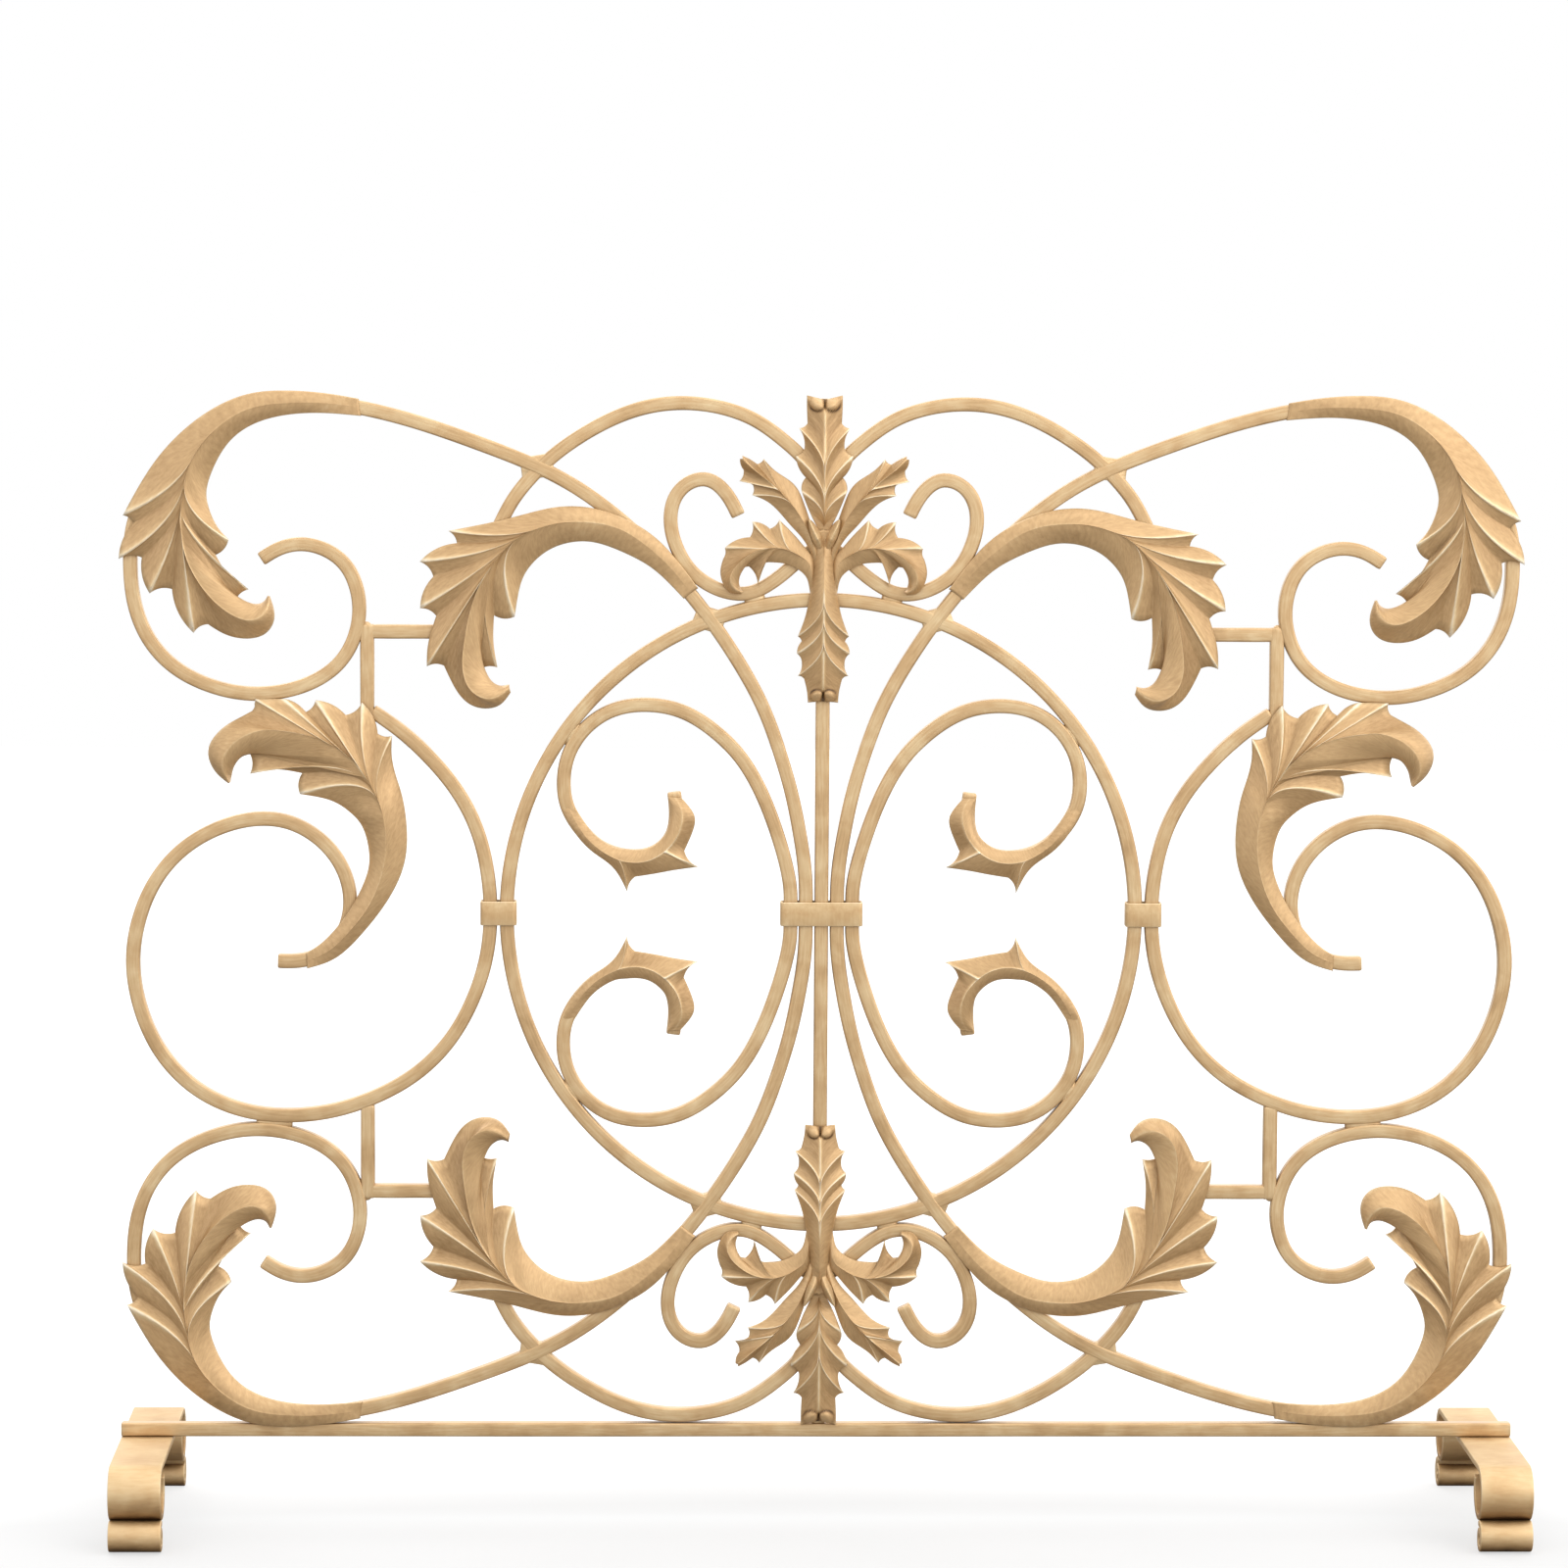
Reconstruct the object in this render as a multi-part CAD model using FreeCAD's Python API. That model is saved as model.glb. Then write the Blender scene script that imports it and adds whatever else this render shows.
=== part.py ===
import FreeCAD, Part
import math
import os

# Fireplace screen: one panel of square bar scrolls with pressed leaves, standing on two scroll feet.
# Millimetres. X runs along the panel, Y front to back (front is -Y), Z up, floor at Z = 0.

# driving sizes
bar = 10.0                 # square bar, side
foot_width = 36.7          # flat strip of the feet, along X
foot_strip = 4.5           # flat strip thickness
foot_half_depth = 115.0    # middle of the panel to the front of a foot
roll_radius = 11.0         # toe roll under each end of a foot
roll_flat = 0.2            # depth of the dressed flat the roll stands on
loop_radius = 19.5         # end loop of the foot strip, outside
toe_forward = 9.0          # toe roll's middle in front of the loop's middle
toe_bite = 0.1             # the loop is pressed this far into the toe roll
roll_clearance = 0.2       # between the turns of a toe roll
panel_half = 485.5         # scroll pattern, middle to the outermost centreline
rail_overhang = 9.5        # base rail past that centreline
seat_gap = 0.3             # long scroll over the rail
strand_gap = 1.0           # between the bars in the middle collar
side_gap = 1.5             # between the two bars in a side collar
collar_height = 17.0
collar_wall = 2.0
collar_fit = 0.3           # inside a collar, at its two ends
sheet = 2.0                # pressed leaf thickness
leaf_scale = 1.0           # relief of the leaves
rod_rise = 363.0           # mid height to the top of the centre rod, before the pattern grows
tie_drop = 62.0            # corner tie, down to the side scroll
tie_arm = 54.0             # corner tie, across to the inner leaf
bead_depth = 8.0           # weld beads, front to back
drawn_half = 485.5         # half width that the outlines below are drawn for
drawn_bar = 10.0           # bar that they are drawn for
drawn_rod_gap = 5.2        # sprig's edge to the middle, as drawn
contact_reach = 35.0       # along a bar, how far moving a contact is felt

# tied sizes
half = bar / 2.0
pattern = panel_half / drawn_half      # the outlines grow with the panel
rod_opening = drawn_rod_gap * (pattern - 1.0) - (bar - drawn_bar) / 2.0
strand_pitch = bar + strand_gap
side_pitch = bar + side_gap
rail_half = panel_half + rail_overhang
ring_radius = 222.0 * pattern          # centreline of the round frame in the middle
apex_rise = 359.7 * pattern            # mid height to the centreline of the long scroll's crest
roll_height = roll_radius - roll_flat
loop_centre = roll_height + math.sqrt((loop_radius + roll_radius - toe_bite) ** 2 - toe_forward ** 2)
foot_top = loop_centre + loop_radius
rail_top = foot_top + bar
mid_height = rail_top + half + seat_gap + apex_rise
foot_inner = rail_half - foot_width


def vec(x, z):
    return FreeCAD.Vector(x, 0.0, z)


def strip(points, width, y_front, y_back, spacing=11.0):
    """Flat bar along a smooth line through points in the X-Z plane."""
    line = Part.BSplineCurve()
    line.interpolate([vec(x, z) for x, z in points])
    edge = line.toShape()
    count = max(4, int(round(edge.Length / spacing)) + 1)
    left = []
    right = []
    for spot in edge.discretize(Number=count):
        run = line.tangent(line.parameter(spot))[0]
        side = FreeCAD.Vector(-run.z, 0.0, run.x) * (width / 2.0)
        left.append(spot + side)
        right.append(spot - side)
    one = Part.BSplineCurve()
    one.interpolate(left)
    two = Part.BSplineCurve()
    two.interpolate(right)
    outline = Part.Wire([
        one.toShape(),
        Part.makeLine(left[-1], right[-1]),
        two.toShape(),
        Part.makeLine(left[0], right[0])])
    face = Part.Face(outline)
    face.translate(FreeCAD.Vector(0, y_front, 0))
    return face.extrude(FreeCAD.Vector(0, y_back - y_front, 0))


def round_bar(points):
    return strip(points, bar, -half, half)


def flip_x(shape):
    return shape.mirror(FreeCAD.Vector(0, 0, 0), FreeCAD.Vector(1, 0, 0))


def flip_z(shape):
    return shape.mirror(FreeCAD.Vector(0, 0, mid_height), FreeCAD.Vector(0, 0, 1))


def grown(points):
    """Pattern points at the panel's size."""
    return [(x * pattern, z * pattern) for x, z in points]


def opened(drawn_distance):
    """What two bars, drawn with their centrelines this far apart, would part by."""
    return drawn_distance * (pattern - 1.0) - (bar - drawn_bar)


def settled(points, contacts):
    """Grown points, moved where they touch a neighbour so that the contact holds."""
    moved = []
    for x, z in grown(points):
        for at_x, at_z, toward_x, toward_z, amount in contacts:
            away = math.hypot(x - at_x * pattern, z - at_z * pattern) / (contact_reach * pattern)
            share = amount * math.exp(-away * away)
            x = x + toward_x * share
            z = z + toward_z * share
        moved.append((x, z))
    return moved


def above(points):
    """Points given as x and height over the middle of the panel."""
    return [(x, mid_height + z) for x, z in points]


def through_collar(points, x, drawn_x, contacts):
    """Upper half of a bar, straight through the collar at x, and its mirror image below."""
    beside = (drawn_x, 0.0, 1.0, 0.0, x - drawn_x * pattern)
    upper = settled(points, contacts + [beside]) + [(x, collar_height * 0.85)]
    lower = [(a, -z) for a, z in reversed(upper)]
    return above(upper + [(x, 0.0)] + lower)


def box(x0, x1, y0, y1, z0, z1):
    return Part.makeBox(x1 - x0, y1 - y0, z1 - z0, FreeCAD.Vector(x0, y0, z0))


def cut_all(shape, tools):
    for tool in tools:
        shape = shape.cut(tool)
    return shape


def save(name, shape):
    shape.exportStep("parts/" + name + ".step")


# centrelines, left side, x and height over the middle of the panel
long_line = [
    (-394, 249), (-381, 256.5), (-366, 259.5), (-350, 256), (-336, 246), (-328, 231),
    (-325.5, 214), (-328.5, 196), (-339, 177), (-358, 163), (-380, 156), (-403, 154.5),
    (-430, 160), (-455, 173), (-473, 193), (-483, 219), (-485.5, 245), (-484, 268),
    (-477, 290), (-463, 314), (-443, 335), (-417, 351), (-390, 358.6), (-370, 359.7),
    (-348, 358.7), (-325, 355.2), (-300, 349.5), (-270, 340.5), (-240, 330), (-201, 314.5),
    (-175, 301), (-150, 283.5), (-125, 261.5), (-102, 236), (-80, 208.5), (-60, 179),
    (-42, 146), (-29, 111), (-22.5, 89), (-15.5, 56), (-12.2, 34)]
inner_line = [
    (-104.3, 86), (-103, 70), (-105.5, 56), (-114, 45.5), (-127, 40.5), (-142, 41.3),
    (-158, 48), (-170, 59.5), (-179.5, 76), (-182, 92), (-179, 111), (-168, 129.5),
    (-148, 143.5), (-124, 147.5), (-100.5, 143.5), (-76, 129), (-58, 111), (-44, 88),
    (-31, 55), (-25, 34)]
arch_line = [
    (-5, 302), (-12, 317), (-27, 332.5), (-50, 348.5), (-75, 357), (-99, 359.5),
    (-125, 356.5), (-150, 347.5), (-173, 334.5), (-190, 322), (-205, 307.5), (-218, 291),
    (-228, 272)]
hook_line = [
    (-4, 259), (-14, 252.5), (-25, 243), (-38, 233), (-52, 226.6), (-66, 226.8), (-80, 232),
    (-93, 242), (-103, 258), (-107.5, 277), (-104, 294), (-94, 304), (-82, 306), (-70, 298),
    (-60, 281)]
side_lower = [
    (-383, -34.5), (-366, -34), (-350, -28), (-338, -15), (-332.5, 3), (-334.5, 23),
    (-343.5, 41), (-360, 56.5), (-378, 64.5), (-398, 66), (-423, 60), (-447, 46.5),
    (-467, 25), (-480, -3), (-485, -34), (-480, -68), (-464, -102), (-438, -127.5),
    (-405, -141.5), (-372, -144.5), (-340, -140), (-312, -130), (-285, -114), (-262, -90.5),
    (-246, -62), (-236.5, -32)]
side_upper = [(-236, 31), (-243.5, 60), (-259, 89), (-277, 110.5), (-296, 128), (-314, 141)]

# where a bar touches its neighbour: x, height, direction to the neighbour and how far to move
side_contact = [(-388, -143, 0.0, -1.0, opened(11.4))]
inner_contact = [(-171, 125, -0.81, 0.59, opened(10.5))]
hook_contacts = [(-50, 227, 0.22, -0.975, opened(10.5)), (-95, 246, -0.78, -0.625, opened(10.8))]
rod_contact = [(-8, 262, 1.0, 0.0, rod_opening)]

# base rail and centre rod
rail = box(-rail_half, rail_half, -half, half, foot_top, rail_top)
rod = box(-half, half, -half, half, rail_top, mid_height + rod_rise * pattern)

# long and inner scrolls, one bar each through the collar
long_left = round_bar(through_collar(long_line, -strand_pitch, -11, []))
inner_left = round_bar(through_collar(inner_line, -2 * strand_pitch, -22, inner_contact))
side_points = settled(side_lower, side_contact) + [(-ring_radius - side_pitch, 0.0)] + grown(side_upper)
side_left = round_bar(above(side_points))

# round frame, cut where the long scrolls and the rod pass through
ring_outer = Part.makeCylinder(ring_radius + half, bar, FreeCAD.Vector(0, -half, mid_height),
                               FreeCAD.Vector(0, 1, 0))
ring_inner = Part.makeCylinder(ring_radius - half, bar, FreeCAD.Vector(0, -half, mid_height),
                               FreeCAD.Vector(0, 1, 0))
ring = ring_outer.cut(ring_inner)
ring = cut_all(ring, [long_left, flip_x(long_left), rod])
arcs = {"ring_left": [], "ring_right": [], "ring_top": [], "ring_bottom": []}
for piece in ring.Solids:
    centre = piece.CenterOfMass
    if abs(centre.z - mid_height) < 60:
        key = "ring_left" if centre.x < 0 else "ring_right"
    else:
        key = "ring_top" if centre.z > mid_height else "ring_bottom"
    arcs[key].append(piece)

inner_left = inner_left.cut(ring_outer.cut(ring_inner))
side_left = side_left.cut(ring_outer)
arch = cut_all(round_bar(above(grown(arch_line))), [long_left, rod])
hook = cut_all(round_bar(above(settled(hook_line, hook_contacts))), [long_left, rod, ring_outer])

# ties between a scroll end, the side scroll and the inner leaf
tie_x = -320.0 * pattern
tie_z = mid_height + 198.5 * pattern
tie = box(tie_x - half, tie_x + half, -half, half, tie_z - tie_drop * pattern, tie_z + half)
arm = box(tie_x, tie_x + tie_arm * pattern, -half, half, tie_z - half, tie_z + half)
tie = tie.fuse(arm).removeSplitter()
upper_tie = cut_all(tie, [long_left, side_left])
lower_tie = cut_all(flip_z(tie), [long_left, side_left])


def strap(x0, x1):
    """Collar: a flat strap closed round the bars."""
    low = mid_height - collar_height / 2.0
    high = mid_height + collar_height / 2.0
    wall = collar_wall
    outside = box(x0 - wall, x1 + wall, -half - wall, half + wall, low, high)
    inside = box(x0 - collar_fit, x1 + collar_fit, -half, half, low - 1, high + 1)
    return outside.cut(inside)


centre_edge = 2 * strand_pitch + half
collar_centre = strap(-centre_edge, centre_edge)
collar_left = strap(-ring_radius - side_pitch - half, -ring_radius + half)

# feet: a flat strip with a loop at each end, on a rolled toe
centre_y = foot_half_depth - loop_radius
toe_y = centre_y + toe_forward


def half_turns(x, z, radius, first, sweeps, step):
    """Strip of arcs, each swept round its own centre; the radius falls by step at each joint."""
    near = foot_strip / 2.0
    outer = []
    inner = []
    turn = first
    for sweep in sweeps:
        for reach, edges in ((radius + near, outer), (radius - near, inner)):
            spots = []
            for part in (0.0, 0.5, 1.0):
                angle = math.radians(turn + part * sweep)
                spots.append(vec(x + reach * math.cos(angle), z + reach * math.sin(angle)))
            edges.append(Part.Arc(spots[0], spots[1], spots[2]).toShape())
        turn = turn + sweep
        x = x + step * math.cos(math.radians(turn))
        z = z + step * math.sin(math.radians(turn))
        radius = radius - step
    ends = [Part.makeLine(outer[0].firstVertex().Point, inner[0].firstVertex().Point),
            Part.makeLine(outer[-1].lastVertex().Point, inner[-1].lastVertex().Point)]
    wire = Part.Wire(Part.__sortEdges__(outer + inner + ends))
    face = Part.Face(wire)
    face.translate(FreeCAD.Vector(0, foot_inner, 0))
    return face.extrude(FreeCAD.Vector(0, foot_width, 0))


curl = half_turns(-centre_y, loop_centre, loop_radius - foot_strip / 2.0, 90, [150, 148], 0.0)
plate = box(-centre_y, centre_y, foot_inner, rail_half, foot_top - foot_strip, foot_top)
band = plate.fuse([curl, flip_x(curl)]).removeSplitter()
toe = half_turns(-toe_y, roll_height, roll_radius - foot_strip / 2.0, 60, [215, 180, 180],
                 foot_strip / 2.0 + roll_clearance)
toe = toe.cut(box(-200, 200, foot_inner - 1, rail_half + 1, -5, 0)).cut(band)
rolls = [toe, flip_x(toe)]
quarter = (FreeCAD.Vector(0, 0, 0), FreeCAD.Vector(0, 0, 1), 90)


def turned(shape):
    copy = shape.copy()
    copy.rotate(*quarter)
    return copy


band_left = turned(band)
rolls_left = Part.makeCompound([turned(one) for one in rolls])

# leaves: rows from the stem to the tip, each with the middle vein, the outer edge and the inner
# edge (x and height over the middle), the rise of the vein and what each edge does there
# (p plain, t tip of a lobe, n notch between lobes)
corner_rows = [
    ((-325, 355.5), (-325.5, 361.5), (-324, 349.5), 2.0, "pp"),
    ((-352, 358.5), (-351, 365.5), (-355, 351.5), 4.5, "pp"),
    ((-381, 358), (-380, 367), (-384, 348.5), 6.0, "pp"),
    ((-406, 352.5), (-408, 363), (-406, 339.5), 8.0, "pp"),
    ((-429, 336), (-438, 347), (-421, 324), 10.0, "pp"),
    ((-443, 315), (-467, 318), (-430.5, 303), 12.0, "pp"),
    ((-447, 298), (-490, 279.5), (-431, 288), 13.0, "tp"),
    ((-448.5, 288), (-482.5, 274), (-425, 273), 13.2, "np"),
    ((-449.5, 278), (-493, 249), (-416.4, 263), 13.4, "tt"),
    ((-449, 268), (-477, 250), (-425.5, 252), 13.4, "nn"),
    ((-447.5, 258), (-471.5, 225), (-417, 239), 13.2, "tp"),
    ((-444.5, 248), (-456, 228), (-402.6, 228), 13.0, "nt"),
    ((-438, 235), (-441, 197.5), (-411.5, 220.5), 13.0, "tn"),
    ((-427, 221), (-431, 203.5), (-405, 216.5), 13.5, "np"),
    ((-414, 211), (-419, 196.5), (-399.5, 216), 14.5, "pp"),
    ((-402, 207), (-405, 193.5), (-395.5, 217.3), 15.0, "pp"),
    ((-393.5, 210), (-391, 197), (-392.5, 219.3), 14.0, "pp"),
    ((-388.8, 217), (-384.5, 209), (-390.5, 221.5), 11.0, "pp"),
    ((-388.3, 223.3), (-387.6, 223.6), (-389, 224), 8.0, "pp")]
inner_rows = [
    ((-93, 226.5), (-88, 230), (-98, 222.5), 2.0, "pp"),
    ((-109, 246), (-104, 251), (-116, 240.5), 4.5, "pp"),
    ((-126, 261), (-120, 267), (-132, 251), 6.5, "pp"),
    ((-143, 271.5), (-138, 278), (-149, 258.5), 8.5, "pp"),
    ((-162, 276), (-160, 285.5), (-165, 262.5), 10.0, "pp"),
    ((-184, 276), (-188, 286.5), (-181.5, 261), 11.5, "pp"),
    ((-204, 270.5), (-221, 278.5), (-196.5, 254), 12.5, "pp"),
    ((-216, 264), (-263, 269.6), (-208, 242), 13.2, "tp"),
    ((-224, 256.5), (-257, 261), (-213.5, 228), 13.4, "np"),
    ((-231, 248), (-283, 248), (-216.5, 209.7), 13.6, "tt"),
    ((-237.5, 238.5), (-273.5, 237.5), (-231, 210.5), 13.6, "nn"),
    ((-243, 227.5), (-282.7, 215.3), (-231.5, 199), 13.4, "tp"),
    ((-247, 216), (-271.5, 210), (-231, 188), 13.2, "np"),
    ((-250, 203), (-277, 191), (-228.6, 174), 13.0, "pt"),
    ((-252.3, 188), (-278, 174.5), (-241.5, 172), 13.2, "tn"),
    ((-253, 176), (-266, 175), (-239.5, 165.5), 13.8, "np"),
    ((-250.5, 164), (-257.5, 158), (-235, 160.5), 14.5, "pp"),
    ((-243.5, 155.5), (-248.5, 148.3), (-230, 160), 15.0, "pp"),
    ((-234, 152.8), (-238, 145), (-225.5, 160.8), 14.0, "pp"),
    ((-225.5, 156), (-227, 147.5), (-222.5, 161.6), 11.0, "pp"),
    ((-220.5, 160), (-219.3, 156.5), (-220.2, 162.2), 8.0, "pp")]
side_rows = [
    ((-363, -34), (-362.5, -39.5), (-363, -28.5), 2.0, "pp"),
    ((-347, -26.5), (-342.5, -32), (-352.5, -21.5), 4.5, "pp"),
    ((-332, -12), (-324.5, -15.5), (-341, -9.5), 6.5, "pp"),
    ((-318.5, 6), (-307, 7), (-329, 8), 8.5, "pp"),
    ((-309.5, 28), (-294.8, 32), (-320, 28.5), 10.5, "pp"),
    ((-306.3, 50), (-292, 57), (-318.8, 44.5), 12.0, "pp"),
    ((-308, 68), (-294.7, 80), (-323, 60.5), 13.0, "pp"),
    ((-311.5, 80), (-299, 95), (-332, 71.5), 13.4, "pp"),
    ((-315, 87.5), (-302.5, 110), (-346, 80), 13.6, "pp"),
    ((-319, 94.5), (-302.5, 125.5), (-367, 84.3), 13.6, "tt"),
    ((-323, 100.5), (-312.5, 127), (-365.5, 99), 13.6, "nn"),
    ((-328, 107), (-323.5, 149), (-384, 101.5), 13.4, "tp"),
    ((-335, 113.5), (-335, 140), (-402, 98.5), 13.4, "nt"),
    ((-344, 119.5), (-356, 150.4), (-402.5, 113.5), 13.4, "tn"),
    ((-357, 125), (-363, 141.5), (-404.5, 113.8), 13.6, "np"),
    ((-373, 129), (-380, 144), (-406.5, 112.5), 14.2, "pp"),
    ((-390, 130), (-396, 142.3), (-408.5, 110.5), 14.8, "pp"),
    ((-404, 126.5), (-409, 138), (-410.8, 107.8), 15.0, "pp"),
    ((-414.5, 119), (-420.5, 131), (-412.6, 104.5), 14.0, "pp"),
    ((-420, 110), (-429.5, 120.5), (-414, 101), 13.0, "pp"),
    ((-420.5, 102), (-430.8, 109), (-414.8, 97.5), 11.5, "pp"),
    ((-418.3, 96.5), (-425.5, 99), (-415.3, 94.8), 9.5, "pp"),
    ((-416.3, 92.8), (-416.8, 91.8), (-415.5, 92.8), 8.0, "pp")]
bud_rows = [
    ((-179.7, 77), (-184.5, 77.8), (-174.8, 76.5), 2.0, "pp"),
    ((-169.5, 59), (-174.5, 58), (-164.5, 61), 4.5, "pp"),
    ((-158, 47), (-162, 43), (-155, 52), 6.5, "pp"),
    ((-147, 40.5), (-149, 29.5), (-145.5, 47), 8.0, "pp"),
    ((-140, 38), (-137, 15.6), (-138.5, 46), 8.5, "tp"),
    ((-131, 37), (-131.5, 26.5), (-131.5, 45.6), 8.5, "np"),
    ((-121, 39), (-116, 29), (-122.5, 47), 8.5, "pp"),
    ((-112.5, 44), (-104, 31.3), (-114.5, 52), 8.5, "pp"),
    ((-106, 50), (-87.3, 33.7), (-109.5, 58.5), 8.5, "tp"),
    ((-101.5, 57), (-97, 45), (-107.3, 66), 8.0, "np"),
    ((-99, 66), (-90, 62.5), (-106.5, 73), 7.0, "pp"),
    ((-99.5, 75), (-91.5, 73), (-107.2, 79), 5.5, "pp"),
    ((-103.8, 82.5), (-99.3, 82.5), (-108.7, 83), 2.0, "pp")]
crown_half = [
    ((0, 270.3), (3, 270.3), 2.0, "p"),
    ((0, 280), (9.3, 282), 7.0, "p"),
    ((0, 288), (15.8, 298), 10.0, "t"),
    ((0, 296), (13, 308), 11.0, "n"),
    ((0, 308), (20, 323), 12.0, "t"),
    ((0, 317), (14, 328.5), 12.0, "n"),
    ((0, 329), (18, 342.5), 11.0, "t"),
    ((0, 337), (12, 346), 10.0, "n"),
    ((0, 353), (12.5, 357), 8.5, "p"),
    ((0, 362.5), (12.5, 365.5), 2.0, "p")]
pendant_half = [
    ((0, 269.5), (3.5, 269.5), 2.0, "p"),
    ((0, 256), (5.8, 256), 9.0, "p"),
    ((0, 241), (7.6, 240), 12.0, "p"),
    ((0, 227), (9.7, 225), 13.0, "p"),
    ((0, 218), (13, 210), 12.5, "p"),
    ((0, 210), (18, 196.5), 12.0, "t"),
    ((0, 202), (15.3, 193), 11.5, "n"),
    ((0, 196), (18.5, 184.5), 11.0, "t"),
    ((0, 187), (15, 177.5), 10.5, "n"),
    ((0, 180), (17.7, 168.8), 10.0, "t"),
    ((0, 172), (13.3, 166.5), 9.0, "n"),
    ((0, 161), (11.3, 158), 7.0, "p"),
    ((0, 151), (10.6, 150), 2.0, "p")]
sprig_rows = [
    ((-7.5, 260), (-5.2, 263), (-9.2, 257), 3.0, "pp"),
    ((-12, 272), (-9.2, 276), (-16.5, 267), 6.0, "pp"),
    ((-18.5, 283.5), (-14.5, 291), (-24.4, 275.5), 8.0, "pp"),
    ((-26.5, 293.5), (-21.5, 303.5), (-37, 289), 9.0, "pp"),
    ((-33, 300), (-33.5, 312), (-50.5, 295.5), 9.5, "pt"),
    ((-38.5, 305), (-42.5, 321), (-50, 302.5), 10.0, "tn"),
    ((-43.5, 309), (-49, 315), (-59, 305.3), 10.0, "nt"),
    ((-48.5, 313), (-53, 318.5), (-53.8, 312), 10.0, "pn"),
    ((-57, 321.2), (-57.5, 322.8), (-58, 321.5), 7.0, "pp")]
frond_rows = [
    ((-8.3, 247), (-7.2, 253), (-9, 239), 3.0, "pp"),
    ((-15, 252), (-13.2, 259), (-18, 243.5), 6.0, "pp"),
    ((-22, 256), (-20.5, 267.5), (-27, 247.5), 8.0, "pp"),
    ((-28.5, 258.3), (-31.5, 278.5), (-36, 248.5), 9.0, "tp"),
    ((-34, 259), (-38, 272), (-43.5, 246), 9.5, "np"),
    ((-40, 258.5), (-50.5, 277), (-46.5, 231.5), 10.0, "tt"),
    ((-46.5, 257), (-52, 266), (-52.5, 245.5), 10.0, "nn"),
    ((-52.5, 254), (-69.5, 258.5), (-57.5, 244), 10.5, "tp"),
    ((-58.5, 249.5), (-70.5, 251), (-60, 239), 11.0, "np"),
    ((-64, 243), (-72.5, 242), (-60, 234.5), 11.0, "pp"),
    ((-65.5, 236), (-70.5, 233), (-58.7, 231.5), 10.5, "pp"),
    ((-62.5, 230.5), (-65.5, 227), (-57.7, 229.2), 9.0, "pp"),
    ((-57.6, 227.6), (-58, 226.2), (-56.6, 228.3), 7.0, "pp")]
edge_lift = {"p": 0.0, "t": 3.5, "n": 0.0}
rib_lift = {"p": 0.6, "t": 2.2, "n": -1.4}
fan = 0.35                 # how far a side vein runs along the middle vein before it turns out


def both_sides(half_rows):
    """Rows of a leaf that is its own mirror image about X = 0."""
    rows = []
    for spine, edge, rise, mark in half_rows:
        rows.append((spine, (-edge[0], edge[1]), edge, rise, mark + mark))
    return rows


def leaf(rows, contacts=()):
    """Pressed sheet: facets over the vein, a rib line and the edge on each side."""
    rows = [settled(row[:3], contacts) + list(row[3:]) for row in rows]
    grid = []
    last = len(rows) - 1
    for index, (spine, outer, inner, rise, marks) in enumerate(rows):
        before = rows[max(index - 1, 0)][0]
        after = rows[min(index + 1, last)][0]
        run = (after[0] - before[0], after[1] - before[1])
        size = math.hypot(run[0], run[1])
        row = []
        for edge, mark in ((outer, marks[0]), (inner, marks[1])):
            reach = math.hypot(edge[0] - spine[0], edge[1] - spine[1])
            pull = fan * reach / size
            bend = (spine[0] + run[0] * pull, spine[1] + run[1] * pull)
            mid_x = 0.25 * spine[0] + 0.5 * bend[0] + 0.25 * edge[0]
            mid_z = 0.25 * spine[1] + 0.5 * bend[1] + 0.25 * edge[1]
            low = sheet + edge_lift[mark] * leaf_scale
            if index == last and rise > sheet:
                low = rise - 1.5
            top = sheet + (rise - sheet) * leaf_scale
            middle = 0.62 * top + 0.38 * low + rib_lift[mark] * leaf_scale * min(1.0, (top - low) / 5.0)
            row.append(((edge[0], low, edge[1]), (mid_x, max(middle, sheet), mid_z)))
        vein = (spine[0], sheet + (rise - sheet) * leaf_scale, spine[1])
        grid.append([row[0][0], row[0][1], vein, row[1][1], row[1][0]])
    front = []
    back = []
    for row in grid:
        front.append([FreeCAD.Vector(x, -half - rise, mid_height + z) for x, rise, z in row])
        back.append([FreeCAD.Vector(x, -half - rise + sheet, mid_height + z) for x, rise, z in row])
    faces = []

    def tri(a, b, c):
        faces.append(Part.Face(Part.makePolygon([a, b, c, a])))

    def quad(a, b, c, d):
        tri(a, b, c)
        tri(a, c, d)

    for i in range(last):
        for j in range(4):
            quad(front[i][j], front[i][j + 1], front[i + 1][j + 1], front[i + 1][j])
            quad(back[i][j], back[i + 1][j], back[i + 1][j + 1], back[i][j + 1])
        for j in (0, 4):
            quad(front[i][j], front[i + 1][j], back[i + 1][j], back[i][j])
    for i in (0, last):
        for j in range(4):
            quad(front[i][j], back[i][j], back[i][j + 1], front[i][j + 1])
    solid = Part.Solid(Part.Shell(faces))
    if solid.Volume < 0:
        solid.reverse()
    return solid


corner = leaf(corner_rows)
inner = leaf(inner_rows)
side = leaf(side_rows)
bud = leaf(bud_rows)
crown = leaf(both_sides(crown_half))
pendant = leaf(both_sides(pendant_half))
sprig = leaf(sprig_rows, rod_contact)
frond = leaf(frond_rows, rod_contact)


# weld beads: short rounds between neighbours, trimmed to the bars they join
def bead(x, z, radius):
    return Part.makeCylinder(radius, bead_depth, FreeCAD.Vector(x, -bead_depth / 2.0, mid_height + z),
                             FreeCAD.Vector(0, 1, 0))


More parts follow.
